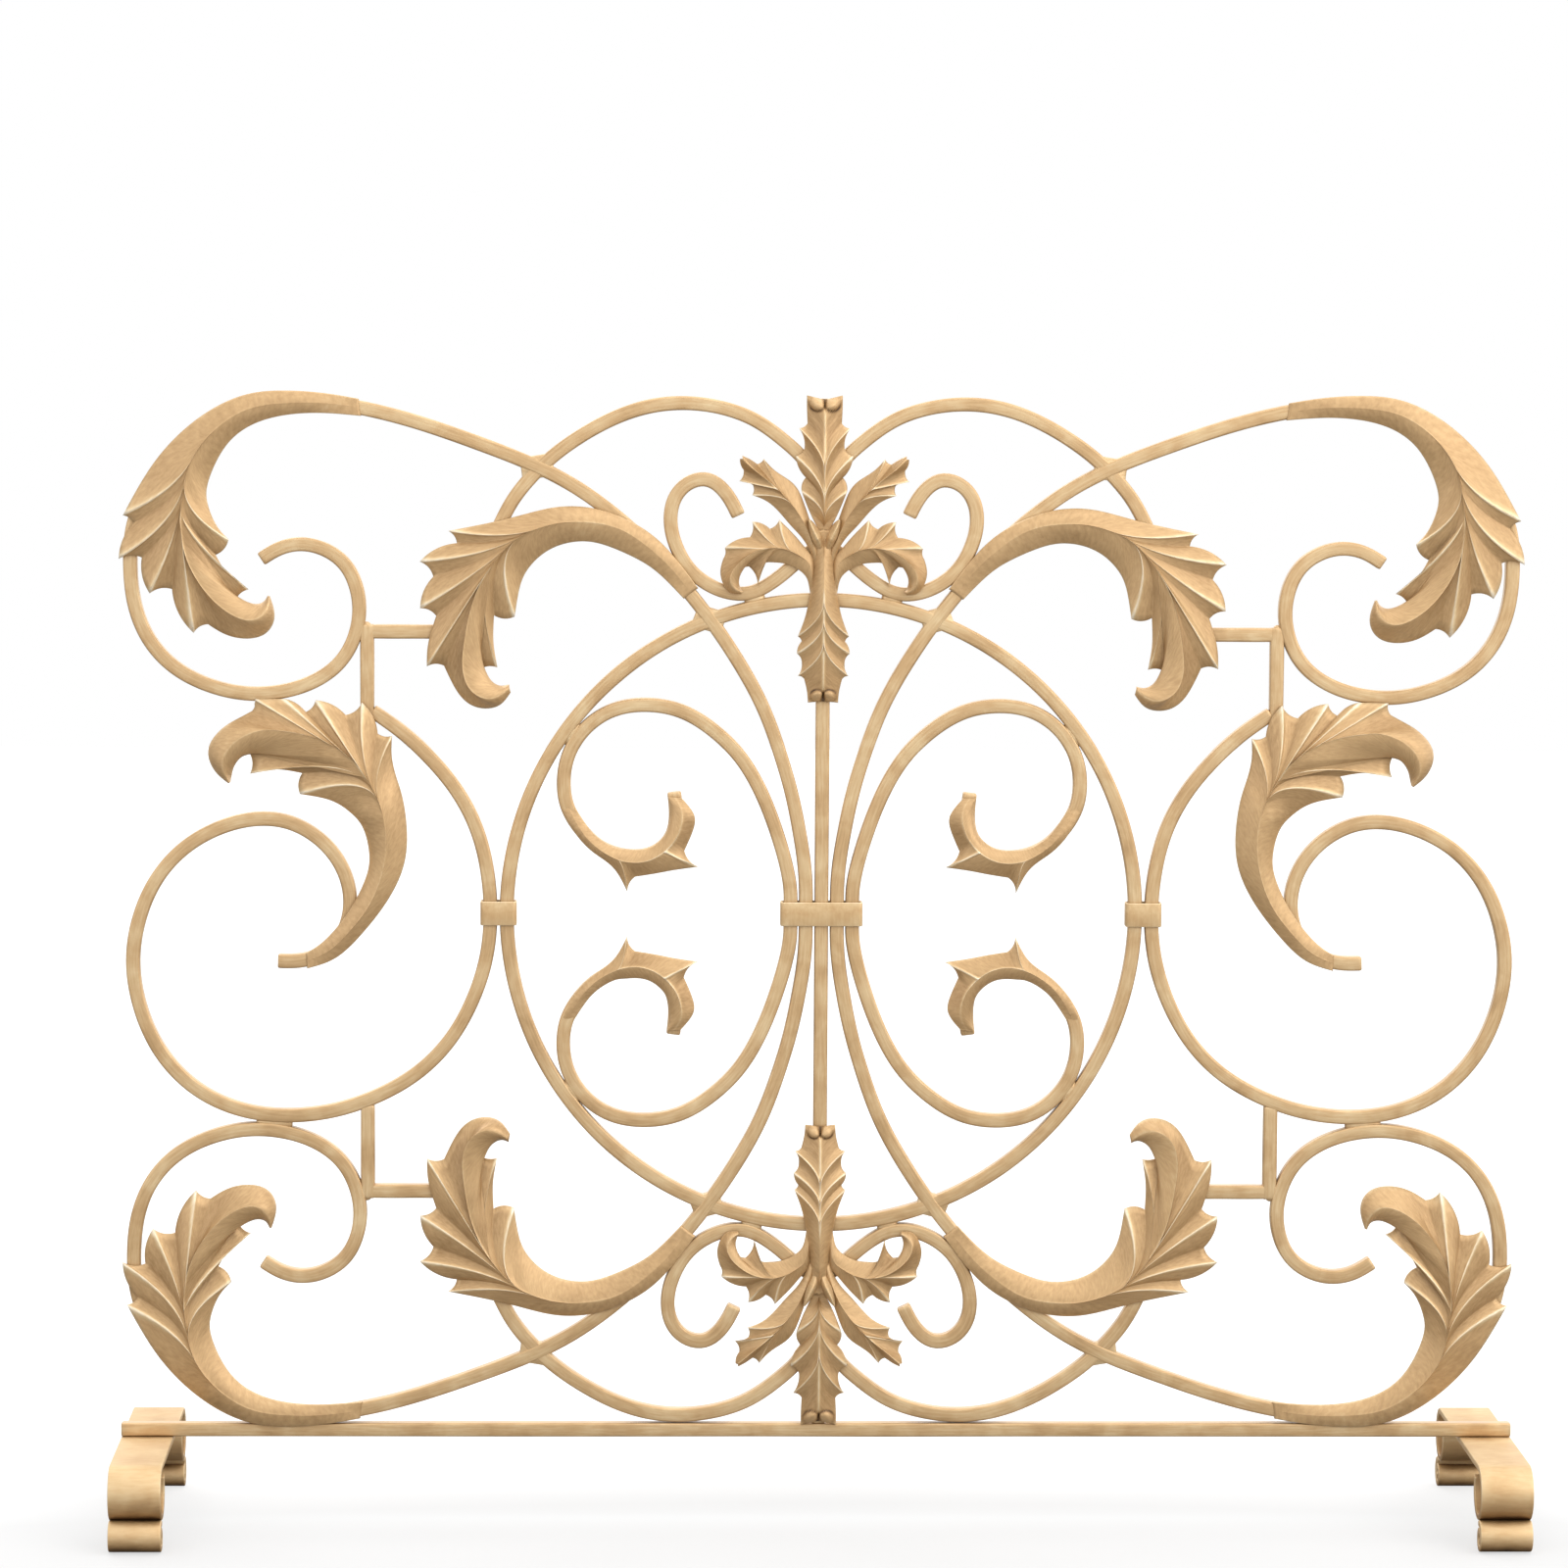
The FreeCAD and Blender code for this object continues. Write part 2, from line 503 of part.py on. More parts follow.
bars = [rail, rod, long_left, inner_left, side_left, arch, hook, flip_z(arch), flip_z(hook)]
bars = bars + arcs["ring_left"] + arcs["ring_top"] + arcs["ring_bottom"]
beads = []
bead_contacts = []
for at_x, at_z, toward_x, toward_z, amount in side_contact + inner_contact + hook_contacts[:1]:
    bead_contacts.append((at_x, at_z, toward_x, toward_z, amount / 2.0))
    bead_contacts.append((at_x, -at_z, toward_x, -toward_z, amount / 2.0))
spots = [(-47, 227, 5.5), (-47, -227, 5.5), (-176, 124, 7.0), (-176, -124, 7.0)]
spots = spots + [(x, 146, 5.0) for x in (-399, -391, -383)]
spots = spots + [(x, -150, 4.5) for x in (-396, -386, -376)]
for x, z, radius in spots:
    spot_x, spot_z = settled([(x, z)], bead_contacts)[0]
    beads.append(cut_all(bead(spot_x, spot_z, radius * bar / drawn_bar), bars))
beads_left = beads[0]
for one in beads[1:]:
    beads_left = beads_left.fuse(one)

os.makedirs("parts", exist_ok=True)
save("base_rail", rail)
save("centre_rod", rod)
save("collar_centre", collar_centre)
for name in arcs:
    save(name, Part.makeCompound(arcs[name]))
sides = {
    "foot_band": band_left,
    "foot_rolls": rolls_left,
    "long_scroll": long_left,
    "inner_scroll": inner_left,
    "side_scroll": side_left,
    "side_leaf": side,
    "collar": collar_left,
    "weld_beads": beads_left}
for name in sides:
    save(name + "_left", sides[name])
    save(name + "_right", flip_x(sides[name]))
corners = {
    "arch": arch,
    "hook": hook,
    "corner_leaf": corner,
    "inner_leaf": inner,
    "bud": bud,
    "sprig": sprig,
    "frond": frond}
for name in corners:
    shape = corners[name]
    save(name + "_upper_left", shape)
    save(name + "_upper_right", flip_x(shape))
    save(name + "_lower_left", flip_z(shape))
    save(name + "_lower_right", flip_x(flip_z(shape)))
save("tie_upper_left", upper_tie)
save("tie_upper_right", flip_x(upper_tie))
save("tie_lower_left", lower_tie)
save("tie_lower_right", flip_x(lower_tie))
save("crown_leaf_upper", crown)
save("crown_leaf_lower", flip_z(crown))
save("pendant_leaf_upper", pendant)
save("pendant_leaf_lower", flip_z(pendant))
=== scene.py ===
import math
import bpy
import numpy as np
from mathutils import Matrix, Vector


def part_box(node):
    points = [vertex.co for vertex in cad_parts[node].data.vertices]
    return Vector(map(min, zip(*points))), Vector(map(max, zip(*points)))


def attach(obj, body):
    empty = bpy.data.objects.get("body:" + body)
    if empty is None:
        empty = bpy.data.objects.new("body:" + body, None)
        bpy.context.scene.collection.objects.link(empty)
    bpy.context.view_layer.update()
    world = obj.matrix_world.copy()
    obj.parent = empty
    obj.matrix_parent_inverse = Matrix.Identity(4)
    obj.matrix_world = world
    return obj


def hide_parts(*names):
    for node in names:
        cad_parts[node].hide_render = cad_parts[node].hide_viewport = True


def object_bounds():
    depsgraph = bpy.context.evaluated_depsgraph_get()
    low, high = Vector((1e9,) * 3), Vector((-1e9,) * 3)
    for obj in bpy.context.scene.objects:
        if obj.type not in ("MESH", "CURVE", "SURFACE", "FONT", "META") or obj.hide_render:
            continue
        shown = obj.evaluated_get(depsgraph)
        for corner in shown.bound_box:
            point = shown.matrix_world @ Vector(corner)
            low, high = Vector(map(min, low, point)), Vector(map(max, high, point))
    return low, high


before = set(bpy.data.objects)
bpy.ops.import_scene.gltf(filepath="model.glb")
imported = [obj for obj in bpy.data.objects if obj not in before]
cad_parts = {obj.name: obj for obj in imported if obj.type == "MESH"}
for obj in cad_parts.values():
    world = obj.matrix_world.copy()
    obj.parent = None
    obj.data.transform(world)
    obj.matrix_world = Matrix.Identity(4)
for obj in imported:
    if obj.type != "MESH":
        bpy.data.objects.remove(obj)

# Fireplace screen in antique gold paint: square bar scrolls, pressed leaves, two scroll feet.
# Shapes are worked out in millimetres and made in metres. Front is -Y, up is Z.

mm = 0.001
cadLow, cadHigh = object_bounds()


def edgesOf(node):
    # low and high corner of a node's box, in millimetres
    low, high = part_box(node)
    return np.array(low) / mm, np.array(high) / mm


railLow, railHigh = edgesOf("base_rail")
collarLow, collarHigh = edgesOf("collar_centre")
bandLow, bandHigh = edgesOf("foot_band_left")
rollLow = edgesOf("foot_rolls_left")[0]
scrollLow = edgesOf("long_scroll_left")[0]
drawn = {"halfWidth": 485.5, "ring": 222.0}          # what the outlines are drawn for: panel and round frame
half = (railHigh[2] - railLow[2]) / 2                # half a bar
middle = (collarLow[2] + collarHigh[2]) / 2          # height of the collars
spread = (-scrollLow[0] - half) / drawn["halfWidth"]
sides = ((False, "left"), (True, "right"))           # whether a piece is mirrored, and its name's ending
levels = ((False, "upper"), (True, "lower"))


def lengthsAlong(points):
    # distance from the first point to each, along the line
    return np.concatenate([[0], np.cumsum(np.linalg.norm(np.diff(points, axis=0), axis=1))])


def smoothLine(points, step):
    # natural cubic spline through the points over their chord lengths, cut into equal steps
    p = np.array(points, float)
    t = lengthsAlong(p)
    return cubic(t, p, np.linspace(0, t[-1], max(3, int(t[-1] / step) + 1)))


def cubic(t, p, at):
    # Natural cubic spline: second derivatives from a tridiagonal system, then, with a and b the shares of the
    # way left and gone: a start + b end + ((a^3 - a) startBend + (b^3 - b) endBend) width^2 / 6
    n = len(t)
    h = np.diff(t)
    m = np.zeros((n, n))
    m[0, 0] = m[-1, -1] = 1
    i = np.arange(1, n - 1)
    m[i, i - 1], m[i, i], m[i, i + 1] = h[:-1], 2 * (h[:-1] + h[1:]), h[1:]
    slope = np.diff(p, axis=0) / h[:, None]
    right = np.zeros_like(p)
    right[1:-1] = 6 * np.diff(slope, axis=0)
    bend = np.linalg.solve(m, right)
    k = np.clip(np.searchsorted(t, at, side="right") - 1, 0, n - 2)
    a, b, w = ((t[k + 1] - at) / h[k])[:, None], ((at - t[k]) / h[k])[:, None], h[k][:, None]
    return a * p[k] + b * p[k + 1] + ((a ** 3 - a) * bend[k] + (b ** 3 - b) * bend[k + 1]) * w ** 2 / 6


def roundedBox(halfA, halfB, radius, steps):
    # Closed outline of a rectangle with round corners: centre + radius (cos, sin) over a quarter turn, and
    # after it the middle of the next side. worn: 1 half way round a corner, 0.5 at its ends, 0 in mid
    # side; on bars it darkens the edges as painted shade, on straps and strips it makes them paler as wear.
    turn = np.linspace(0, math.pi / 2, steps)
    points, worn = [], []
    for k, (a, b) in enumerate(((1, 1), (-1, 1), (-1, -1), (1, -1))):
        angle = turn + k * math.pi / 2
        centre = np.array([a * (halfA - radius), b * (halfB - radius)])
        points.append(centre + radius * np.stack([np.cos(angle), np.sin(angle)], 1))
        points.append(np.array([[0.0, b * halfB] if k % 2 == 0 else [a * halfA, 0.0]]))
        worn += [np.sin(2 * turn) * 0.5 + 0.5, np.array([0.0])]
    return np.concatenate(points), np.concatenate(worn)


def gridFaces(rows, cols, closeRows=False, closeCols=True):
    # quads between neighbours of a grid whose point (i, j) is number i * cols + j; a closed way meets itself
    i = np.arange(rows if closeRows else rows - 1)
    j = np.arange(cols if closeCols else cols - 1)
    a, b = np.meshgrid(i, j, indexing="ij")
    c, d = (a + 1) % rows, (b + 1) % cols
    return np.stack([a * cols + b, a * cols + d, c * cols + d, c * cols + b], -1).reshape(-1, 4)


def capFaces(rows, cols):
    # one face over the first row of a grid and one over the last, wound like the grid's own faces
    return [list(range(cols))[::-1], list(range((rows - 1) * cols, rows * cols))]


# how an open end is rounded over its cap length: shares of it along the path, and off the section
roundOff = {"along": (0.0, 0.12, 0.4, 1.0), "less": (0.42, 0.22, 0.07, 0.0)}


def sweep(centre, side, up, outline, closed=False, shrink=None, cap=2.0):
    # An outline carried along a path: point = centre + scale * (a * side + b * up).
    # Open ends are rounded over cap and shut by one face. lay: the way along the path and round the outline.
    path = np.asarray(centre, float)
    scale = np.ones(len(path)) if shrink is None else np.asarray(shrink, float)
    if not closed:
        first, last = [v / np.linalg.norm(v) * cap for v in (path[1] - path[0], path[-1] - path[-2])]
        into = np.array(roundOff["along"])[:, None]
        small = 1 - cap / half * np.array(roundOff["less"])
        path = np.concatenate([path[0] + first * into, path[1:-1], path[-1] - last * into[::-1]])
        ends = [0] * len(into), [-1] * len(into)
        side, up = [np.concatenate([v[ends[0]], v[1:-1], v[ends[1]]]) for v in (side, up)]
        scale = np.concatenate([scale[0] * small, scale[1:-1], scale[-1] * small[::-1]])
    a, b = outline[None, :, :1], outline[None, :, 1:]
    verts = path[:, None] + scale[:, None, None] * (a * side[:, None] + b * up[:, None])
    rows, cols = len(path), len(outline)
    faces = gridFaces(rows, cols, closeRows=closed).tolist()
    if not closed:
        faces += capFaces(rows, cols)
    lay = np.stack(np.meshgrid(lengthsAlong(path), lengthsAlong(outline), indexing="ij"), -1)
    return verts.reshape(-1, 3), faces, lay.reshape(-1, 2)


def flatFrame(points, closed=False):
    # Unit vectors across a path that lies in the X-Z plane, and along Y: run is the step between a point's
    # neighbours, and side is run turned a quarter, (-run z, 0, run x).
    if closed:
        run = np.roll(points, -1, 0) - np.roll(points, 1, 0)
    else:
        run = np.gradient(points, axis=0)
    run /= np.linalg.norm(run, axis=1)[:, None]
    side = np.stack([-run[:, 2], 0 * run[:, 0], run[:, 0]], 1)
    return side, np.tile([0.0, 1.0, 0.0], (len(points), 1))


def turnOutward(verts, faces):
    # signed volume by fans of triangles; a negative one means the faces look inward
    total = 0.0
    for size in set(len(f) for f in faces):
        f = np.array([f for f in faces if len(f) == size])
        for k in range(1, size - 1):
            total += np.einsum("ij,ij->i", verts[f[:, 0]], np.cross(verts[f[:, k]], verts[f[:, k + 1]])).sum()
    return faces if total > 0 else [list(f)[::-1] for f in faces]


def joined(parts):
    # several parts as one: the face numbers of each go up by the points before it
    faces, count = [], 0
    for part in parts:
        faces += [[k + count for k in one] for one in part[1]]
        count += len(part[0])
    verts, tone, lay = [np.concatenate([part[k] for part in parts]) for k in (0, 2, 3)]
    return verts, faces, tone, lay


strokeShift = 61.7          # millimetres by which each piece's brush strokes are moved from the last one's


def makePiece(name, part, material, nodes, mirrorX=False, mirrorZ=False):
    # A mesh from verts, faces, tone and lay; mirrored, x is -x, and z is 2 middle - z.
    # tone: 0 in a hollow, 0.5 on plain metal, 1 on a worn ridge; painted shade and painted highlight are in
    # it too. lay: millimetres along and across strokes.
    verts, faces, tone, lay = part
    verts = np.array(verts, float)
    if mirrorX:
        verts[:, 0] *= -1
    if mirrorZ:
        verts[:, 2] = 2 * middle - verts[:, 2]
    faces = turnOutward(verts - verts.mean(0), faces)
    mesh = bpy.data.meshes.new(name)
    mesh.from_pydata((verts * mm).tolist(), [], [list(map(int, f)) for f in faces])
    mesh.polygons.foreach_set("use_smooth", np.ones(len(mesh.polygons), bool))
    mesh.attributes.new("tone", "FLOAT", "POINT").data.foreach_set("value", tone.astype(np.float32))
    strokes = np.column_stack([lay + strokeShift * len(bpy.data.meshes), np.zeros(len(lay))])
    brushed = mesh.attributes.new("lay", "FLOAT_VECTOR", "POINT")
    brushed.data.foreach_set("vector", strokes.astype(np.float32).ravel())
    mesh.materials.append(material)
    mesh.update()
    piece = bpy.data.objects.new(name, mesh)
    bpy.context.scene.collection.objects.link(piece)
    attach(piece, "root")
    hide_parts(*nodes)


def linear(code):
    # sRGB hex to linear light: c / 12.92 near black, else ((c + 0.055) / 1.055) to the power 2.4
    out = []
    for k in (0, 2, 4):
        c = int(code[k + 1:k + 3], 16) / 255
        out.append(c / 12.92 if c <= 0.04045 else ((c + 0.055) / 1.055) ** 2.4)
    return (*out, 1.0)


def addNode(tree, kind, settings=None, links=None, stops=None):
    # one node with its settings, its incoming links and, for a ramp, its colour stops
    node = tree.nodes.new(kind)
    for key, value in (settings or {}).items():
        if key in node.inputs.keys() or isinstance(key, int):
            node.inputs[key].default_value = value
        else:
            setattr(node, key, value)
    for key, source in (links or {}).items():
        tree.links.new(source, node.inputs[key])
    for k, (place, code) in enumerate(stops or []):
        marks = node.color_ramp.elements
        mark = marks.new(place) if 0 < k < len(stops) - 1 else marks[-1 if k else 0]
        mark.position = place
        mark.color = linear(code)
    return node


def antiqueGold(name, look):
    # Antique gold paint: warm metallic lacquer, brushed and rubbed, dark glaze left in the hollows, and
    # painted shade where neighbours are close.
    # It gives a satin sheen, soft patches a few centimetres wide, short brush streaks and pale rubbed edges.
    # Patches are 12 to 45 mm wide. Real strokes are a bristle wide, 0.2 mm: drawn 1.3 to 2.2 mm wide to show.
    material = bpy.data.materials.new(name)
    material.use_nodes = True
    tree = material.node_tree
    tree.nodes.clear()
    place = addNode(tree, "ShaderNodeTexCoord").outputs["Object"]
    patch = addNode(tree, "ShaderNodeTexNoise",
                    {"Scale": 1 / look["patch"], "Detail": 3.0, "Roughness": 0.55, "Distortion": 0.6},
                    {"Vector": place})
    lay = addNode(tree, "ShaderNodeAttribute", {"attribute_name": "lay"})
    perStroke = (1 / look["stroke"][0], 1 / look["stroke"][1], 1)
    strokes = addNode(tree, "ShaderNodeVectorMath", {"operation": "MULTIPLY", 1: perStroke},
                      {0: lay.outputs["Vector"]})
    streak = addNode(tree, "ShaderNodeTexNoise", {"Scale": 1.0, "Detail": 3.0, "Roughness": 0.6},
                     {"Vector": strokes.outputs["Vector"]})
    tone = addNode(tree, "ShaderNodeAttribute", {"attribute_name": "tone"})
    # painted shade: ambient occlusion darkens the colour where neighbours are close, together with the dark
    # glaze
    near = addNode(tree, "ShaderNodeAmbientOcclusion", {"Distance": look["reach"], "samples": 6})
    # level = tone + patches + streaks, each about its middle, less the glaze and painted shade where
    # neighbours are close
    patched = addNode(tree, "ShaderNodeMath", {"operation": "MULTIPLY_ADD", 1: look["patches"]},
                      {0: patch.outputs["Fac"], 2: tone.outputs["Fac"]})
    streaked = addNode(tree, "ShaderNodeMath", {"operation": "MULTIPLY_ADD", 1: look["streaks"]},
                       {0: streak.outputs["Fac"], 2: patched.outputs[0]})
    glazeAndShade = addNode(tree, "ShaderNodeMapRange",
                    {"From Min": 0.2, "From Max": 0.75, "To Min": -look["glazeAndShade"], "To Max": 0.0},
                    {"Value": near.outputs["AO"]})
    level = addNode(tree, "ShaderNodeMath", {"operation": "ADD"},
                    {0: streaked.outputs[0], 1: glazeAndShade.outputs[0]})
    noiseMiddle = (look["patches"] + look["streaks"]) / 2
    centred = addNode(tree, "ShaderNodeMath", {"operation": "SUBTRACT", 1: noiseMiddle},
                      {0: level.outputs[0]})
    colour = addNode(tree, "ShaderNodeValToRGB", links={"Fac": centred.outputs[0]}, stops=look["colours"])
    smooth, rough = look["rough"]
    satin = addNode(tree, "ShaderNodeMapRange",
                    {"From Min": 0.35, "From Max": 0.65, "To Min": smooth, "To Max": rough},
                    {"Value": patch.outputs["Fac"]})
    brushed = addNode(tree, "ShaderNodeBump", {"Strength": look["bump"], "Distance": 0.0003},
                      {"Height": streak.outputs["Fac"]})
    paint = addNode(tree, "ShaderNodeBsdfPrincipled",
                    {"Metallic": look["metal"], "Coat Weight": look["coat"], "Coat Roughness": 0.4},
                    {"Base Color": colour.outputs["Color"], "Roughness": satin.outputs[0],
                     "Normal": brushed.outputs["Normal"]})
    addNode(tree, "ShaderNodeOutputMaterial", links={"Surface": paint.outputs["BSDF"]})
    return material


barLook = {
    "patch": 0.030,          # width of the brushed patches, metres
    "stroke": (20.0, 1.5),   # length and width of the brush strokes, millimetres
    "reach": 0.008,          # how far the glaze and painted shade reach from a neighbour, metres
    "patches": 0.40,         # strength of patches, streaks and glaze with painted shade, in steps of tone
    "streaks": 0.36,
    "glazeAndShade": 0.26,
    "rough": (0.32, 0.44),   # from the most polished patch to the dullest
    "bump": 0.05,            # relief of the strokes
    "metal": 0.42,           # lacquer: part metal flake, part clear binder
    "coat": 0.16,            # clear lacquer over it
    "colours": [(0.0, "#4A3219"), (0.22, "#96744A"), (0.45, "#C19F72"),
                (0.62, "#D5BC92"), (0.85, "#ECDFC8"), (1.0, "#F5EEE0")]}
leafLook = dict(barLook, patch=0.045, stroke=(5.0, 1.3), patches=0.26, streaks=0.30, glazeAndShade=0.20,
                rough=(0.43, 0.54), bump=0.06)
standLook = dict(barLook, stroke=(2.2, 14.0), reach=0.018, patches=0.34, streaks=0.20, glazeAndShade=0.42,
                 rough=(0.48, 0.58), coat=0.0)
collarLook = dict(standLook, patch=0.02, reach=0.005, glazeAndShade=0.5)
weldLook = dict(barLook, patch=0.012, glazeAndShade=0.10, bump=0.2)
barGold = antiqueGold("antique_gold_paint_on_forged_bar", barLook)
leafGold = antiqueGold("antique_gold_paint_on_pressed_sheet", leafLook)
standGold = antiqueGold("antique_gold_paint_on_rolled_strip", standLook)
collarGold = antiqueGold("antique_gold_paint_on_wrapped_strap", collarLook)
weldGold = antiqueGold("antique_gold_paint_on_weld", weldLook)
print("materials ready")


# Bars: a rounded square section carried along smooth lines.
barSettings = {
    "corner": 1.5,           # radius of the bar's edges
    "step": 3.0,             # millimetres between two sections of a curved bar
    "straightStep": 6.0,     # and of a straight one
    "uneven": 0.22,          # how much the hammer thinned it, at most
    "blows": 40,             # millimetres between two hammer blows
    "through": 14.5,         # straight run to each side of a collar's middle
    "worn": 0.09,            # painted shade: darker along the edges
    # how much flatter each kind is, so that no two faces lie in one plane where bars cross
    "flatter": {"inner": 0.15, "side": 0.1, "arch": 0.2, "hook": 0.25, "ring": 0.15,
                "tieLeg": 0.2, "tieArm": 0.3}}
longLine = [
    (-394, 249), (-381, 256.5), (-366, 259.5), (-350, 256), (-336, 246), (-328, 231),
    (-325.5, 214), (-328.5, 196), (-339, 177), (-358, 163), (-380, 156), (-403, 154.5),
    (-430, 160), (-455, 173), (-473, 193), (-483, 219), (-485.5, 245), (-484, 268),
    (-477, 290), (-463, 314), (-443, 335), (-417, 351), (-390, 358.6), (-370, 359.7),
    (-348, 358.7), (-325, 355.2), (-300, 349.5), (-270, 340.5), (-240, 330), (-201, 314.5),
    (-175, 301), (-150, 283.5), (-125, 261.5), (-102, 236), (-80, 208.5), (-60, 179),
    (-42, 146), (-29, 111), (-22.5, 89), (-15.5, 56), (-12.2, 34)]
innerLine = [
    (-104.3, 86), (-103, 70), (-105.5, 56), (-114, 45.5), (-127, 40.5), (-142, 41.3),
    (-158, 48), (-170, 59.5), (-179.5, 76), (-182, 92), (-179, 111), (-168, 129.5),
    (-148, 143.5), (-124, 147.5), (-100.5, 143.5), (-76, 129), (-58, 111), (-44, 88),
    (-31, 55), (-25, 34)]
archLine = [
    (-5, 302), (-12, 317), (-27, 332.5), (-50, 348.5), (-75, 357), (-99, 359.5),
    (-125, 356.5), (-150, 347.5), (-173, 334.5), (-190, 322), (-205, 307.5), (-218, 291),
    (-228, 272)]
hookLine = [
    (-4, 259), (-14, 252.5), (-25, 243), (-38, 233), (-52, 226.6), (-66, 226.8), (-80, 232),
    (-93, 242), (-103, 258), (-107.5, 277), (-104, 294), (-94, 304), (-82, 306), (-70, 298),
    (-60, 281)]
sideLower = [
    (-383, -34.5), (-366, -34), (-350, -28), (-338, -15), (-332.5, 3), (-334.5, 23),
    (-343.5, 41), (-360, 56.5), (-378, 64.5), (-398, 66), (-423, 60), (-447, 46.5),
    (-467, 25), (-480, -3), (-485, -34), (-480, -68), (-464, -102), (-438, -127.5),
    (-405, -141.5), (-372, -144.5), (-340, -140), (-312, -130), (-285, -114), (-262, -90.5),
    (-246, -62), (-236.5, -32)]
sideUpper = [(-236, 31), (-243.5, 60), (-259, 89), (-277, 110.5), (-296, 128), (-316.5, 142.5)]


def raised(points):
    # x and height over the collars to space, at the panel's size
    p = np.array(points, float) * spread
    return np.stack([p[:, 0], 0 * p[:, 0], middle + p[:, 1]], 1)


def throughCollar(points, x):
    # the points above the collars, straight down through a collar at x, and the same points below: z is -z
    upper = [tuple(np.array(p) * spread) for p in points] + [(x, barSettings["through"])]
    both = upper + [(x, 0.0)] + [(a, -z) for a, z in upper[::-1]]
    return np.array([(a, 0.0, middle + z) for a, z in both])


def hammered(count, seed):
    # thinning along a bar, from 0 to uneven: random heights a blow apart (two on a straight bar), with
    # straight lines between them
    knots = max(4, int(count * barSettings["step"] / barSettings["blows"]))
    level = np.random.default_rng(seed).random(knots)
    return barSettings["uneven"] * np.interp(np.linspace(0, knots - 1, count), np.arange(knots), level)


def barPart(points, seed, flatter=0.0, closed=False, straight=False):
    # a bar's section along a line; its size there is 1 - hammered / half
    line = np.asarray(points, float) if (closed or straight) else smoothLine(points, barSettings["step"])
    side, up = flatFrame(line, closed)
    outline, worn = roundedBox(half, half - flatter, barSettings["corner"], 6)
    thin = 1 - hammered(len(line), seed) / half
    verts, faces, lay = sweep(line, side, up, outline, closed, thin)
    # tone: darker towards the bar's edges, painted shade of a rounded bar
    return verts, faces, 0.50 - barSettings["worn"] * np.tile(worn, len(lay) // len(worn)) ** 2, lay


def straightPart(start, end, seed, flatter=0.0):
    # a bar from start to end: start + share * (end - start), in equal steps
    count = max(6, int(np.linalg.norm(np.subtract(end, start)) / barSettings["straightStep"]))
    return barPart(np.linspace(start, end, count), seed, flatter, straight=True)


# the right edge of each of these is its straight run through a collar
longX, innerX, sideX = [edgesOf(kind + "_scroll_left")[1][0] - half for kind in ("long", "inner", "side")]
flatter = barSettings["flatter"]
longPart = barPart(throughCollar(longLine, longX), 1)
innerPart = barPart(throughCollar(innerLine, innerX), 2, flatter["inner"])
sidePoints = np.concatenate([raised(sideLower), [[sideX, 0, middle]], raised(sideUpper)])
sidePart = barPart(sidePoints, 3, flatter["side"])
archPart = barPart(raised(archLine), 4, flatter["arch"])
hookPart = barPart(raised(hookLine), 5, flatter["hook"])
for mirror, tag in sides:
    makePiece("long_bar_" + tag, longPart, barGold, ["long_scroll_" + tag], mirror)
    makePiece("inner_bar_" + tag, innerPart, barGold, ["inner_scroll_" + tag], mirror)
    makePiece("side_bar_" + tag, sidePart, barGold, ["side_scroll_" + tag], mirror)
    for low, level in levels:
        ending = "_%s_%s" % (level, tag)
        makePiece("arch_bar" + ending, archPart, barGold, ["arch" + ending], mirror, low)
        makePiece("hook_bar" + ending, hookPart, barGold, ["hook" + ending], mirror, low)
around = np.linspace(0, 2 * math.pi, 460, endpoint=False)
ringRadius = drawn["ring"] * spread
ringLine = np.stack([ringRadius * np.cos(around), 0 * around, middle + ringRadius * np.sin(around)], 1)
makePiece("round_frame", barPart(ringLine, 6, flatter["ring"], closed=True), barGold,
          ["ring_left", "ring_right", "ring_top", "ring_bottom"])

railZ = (railLow[2] + railHigh[2]) / 2
railPart = straightPart((railLow[0], 0, railZ), (railHigh[0], 0, railZ), 7)
makePiece("rail_bar", railPart, barGold, ["base_rail"])
rodHigh = edgesOf("centre_rod")[1]
rodPart = straightPart((0, 0, railHigh[2]), (0, 0, rodHigh[2]), 8)
makePiece("middle_rod", rodPart, barGold, ["centre_rod"])
for mirror, tag in sides:
    for low, level in levels:
        tieLow, tieHigh = edgesOf("tie_%s_left" % level)
        tieX = tieLow[0] + half
        armZ = tieLow[2] + half if low else tieHigh[2] - half
        legEnds = (tieLow[2], tieHigh[2]) if low else (tieHigh[2], tieLow[2])
        leg = straightPart((tieX, 0, legEnds[0]), (tieX, 0, legEnds[1]), 9, flatter["tieLeg"])
        arm = straightPart((tieX, 0, armZ), (tieHigh[0], 0, armZ), 10, flatter["tieArm"])
        ending = "_%s_%s" % (level, tag)
        makePiece("tie_bar" + ending, joined([leg, arm]), barGold, ["tie" + ending], mirror)
print("bars ready")


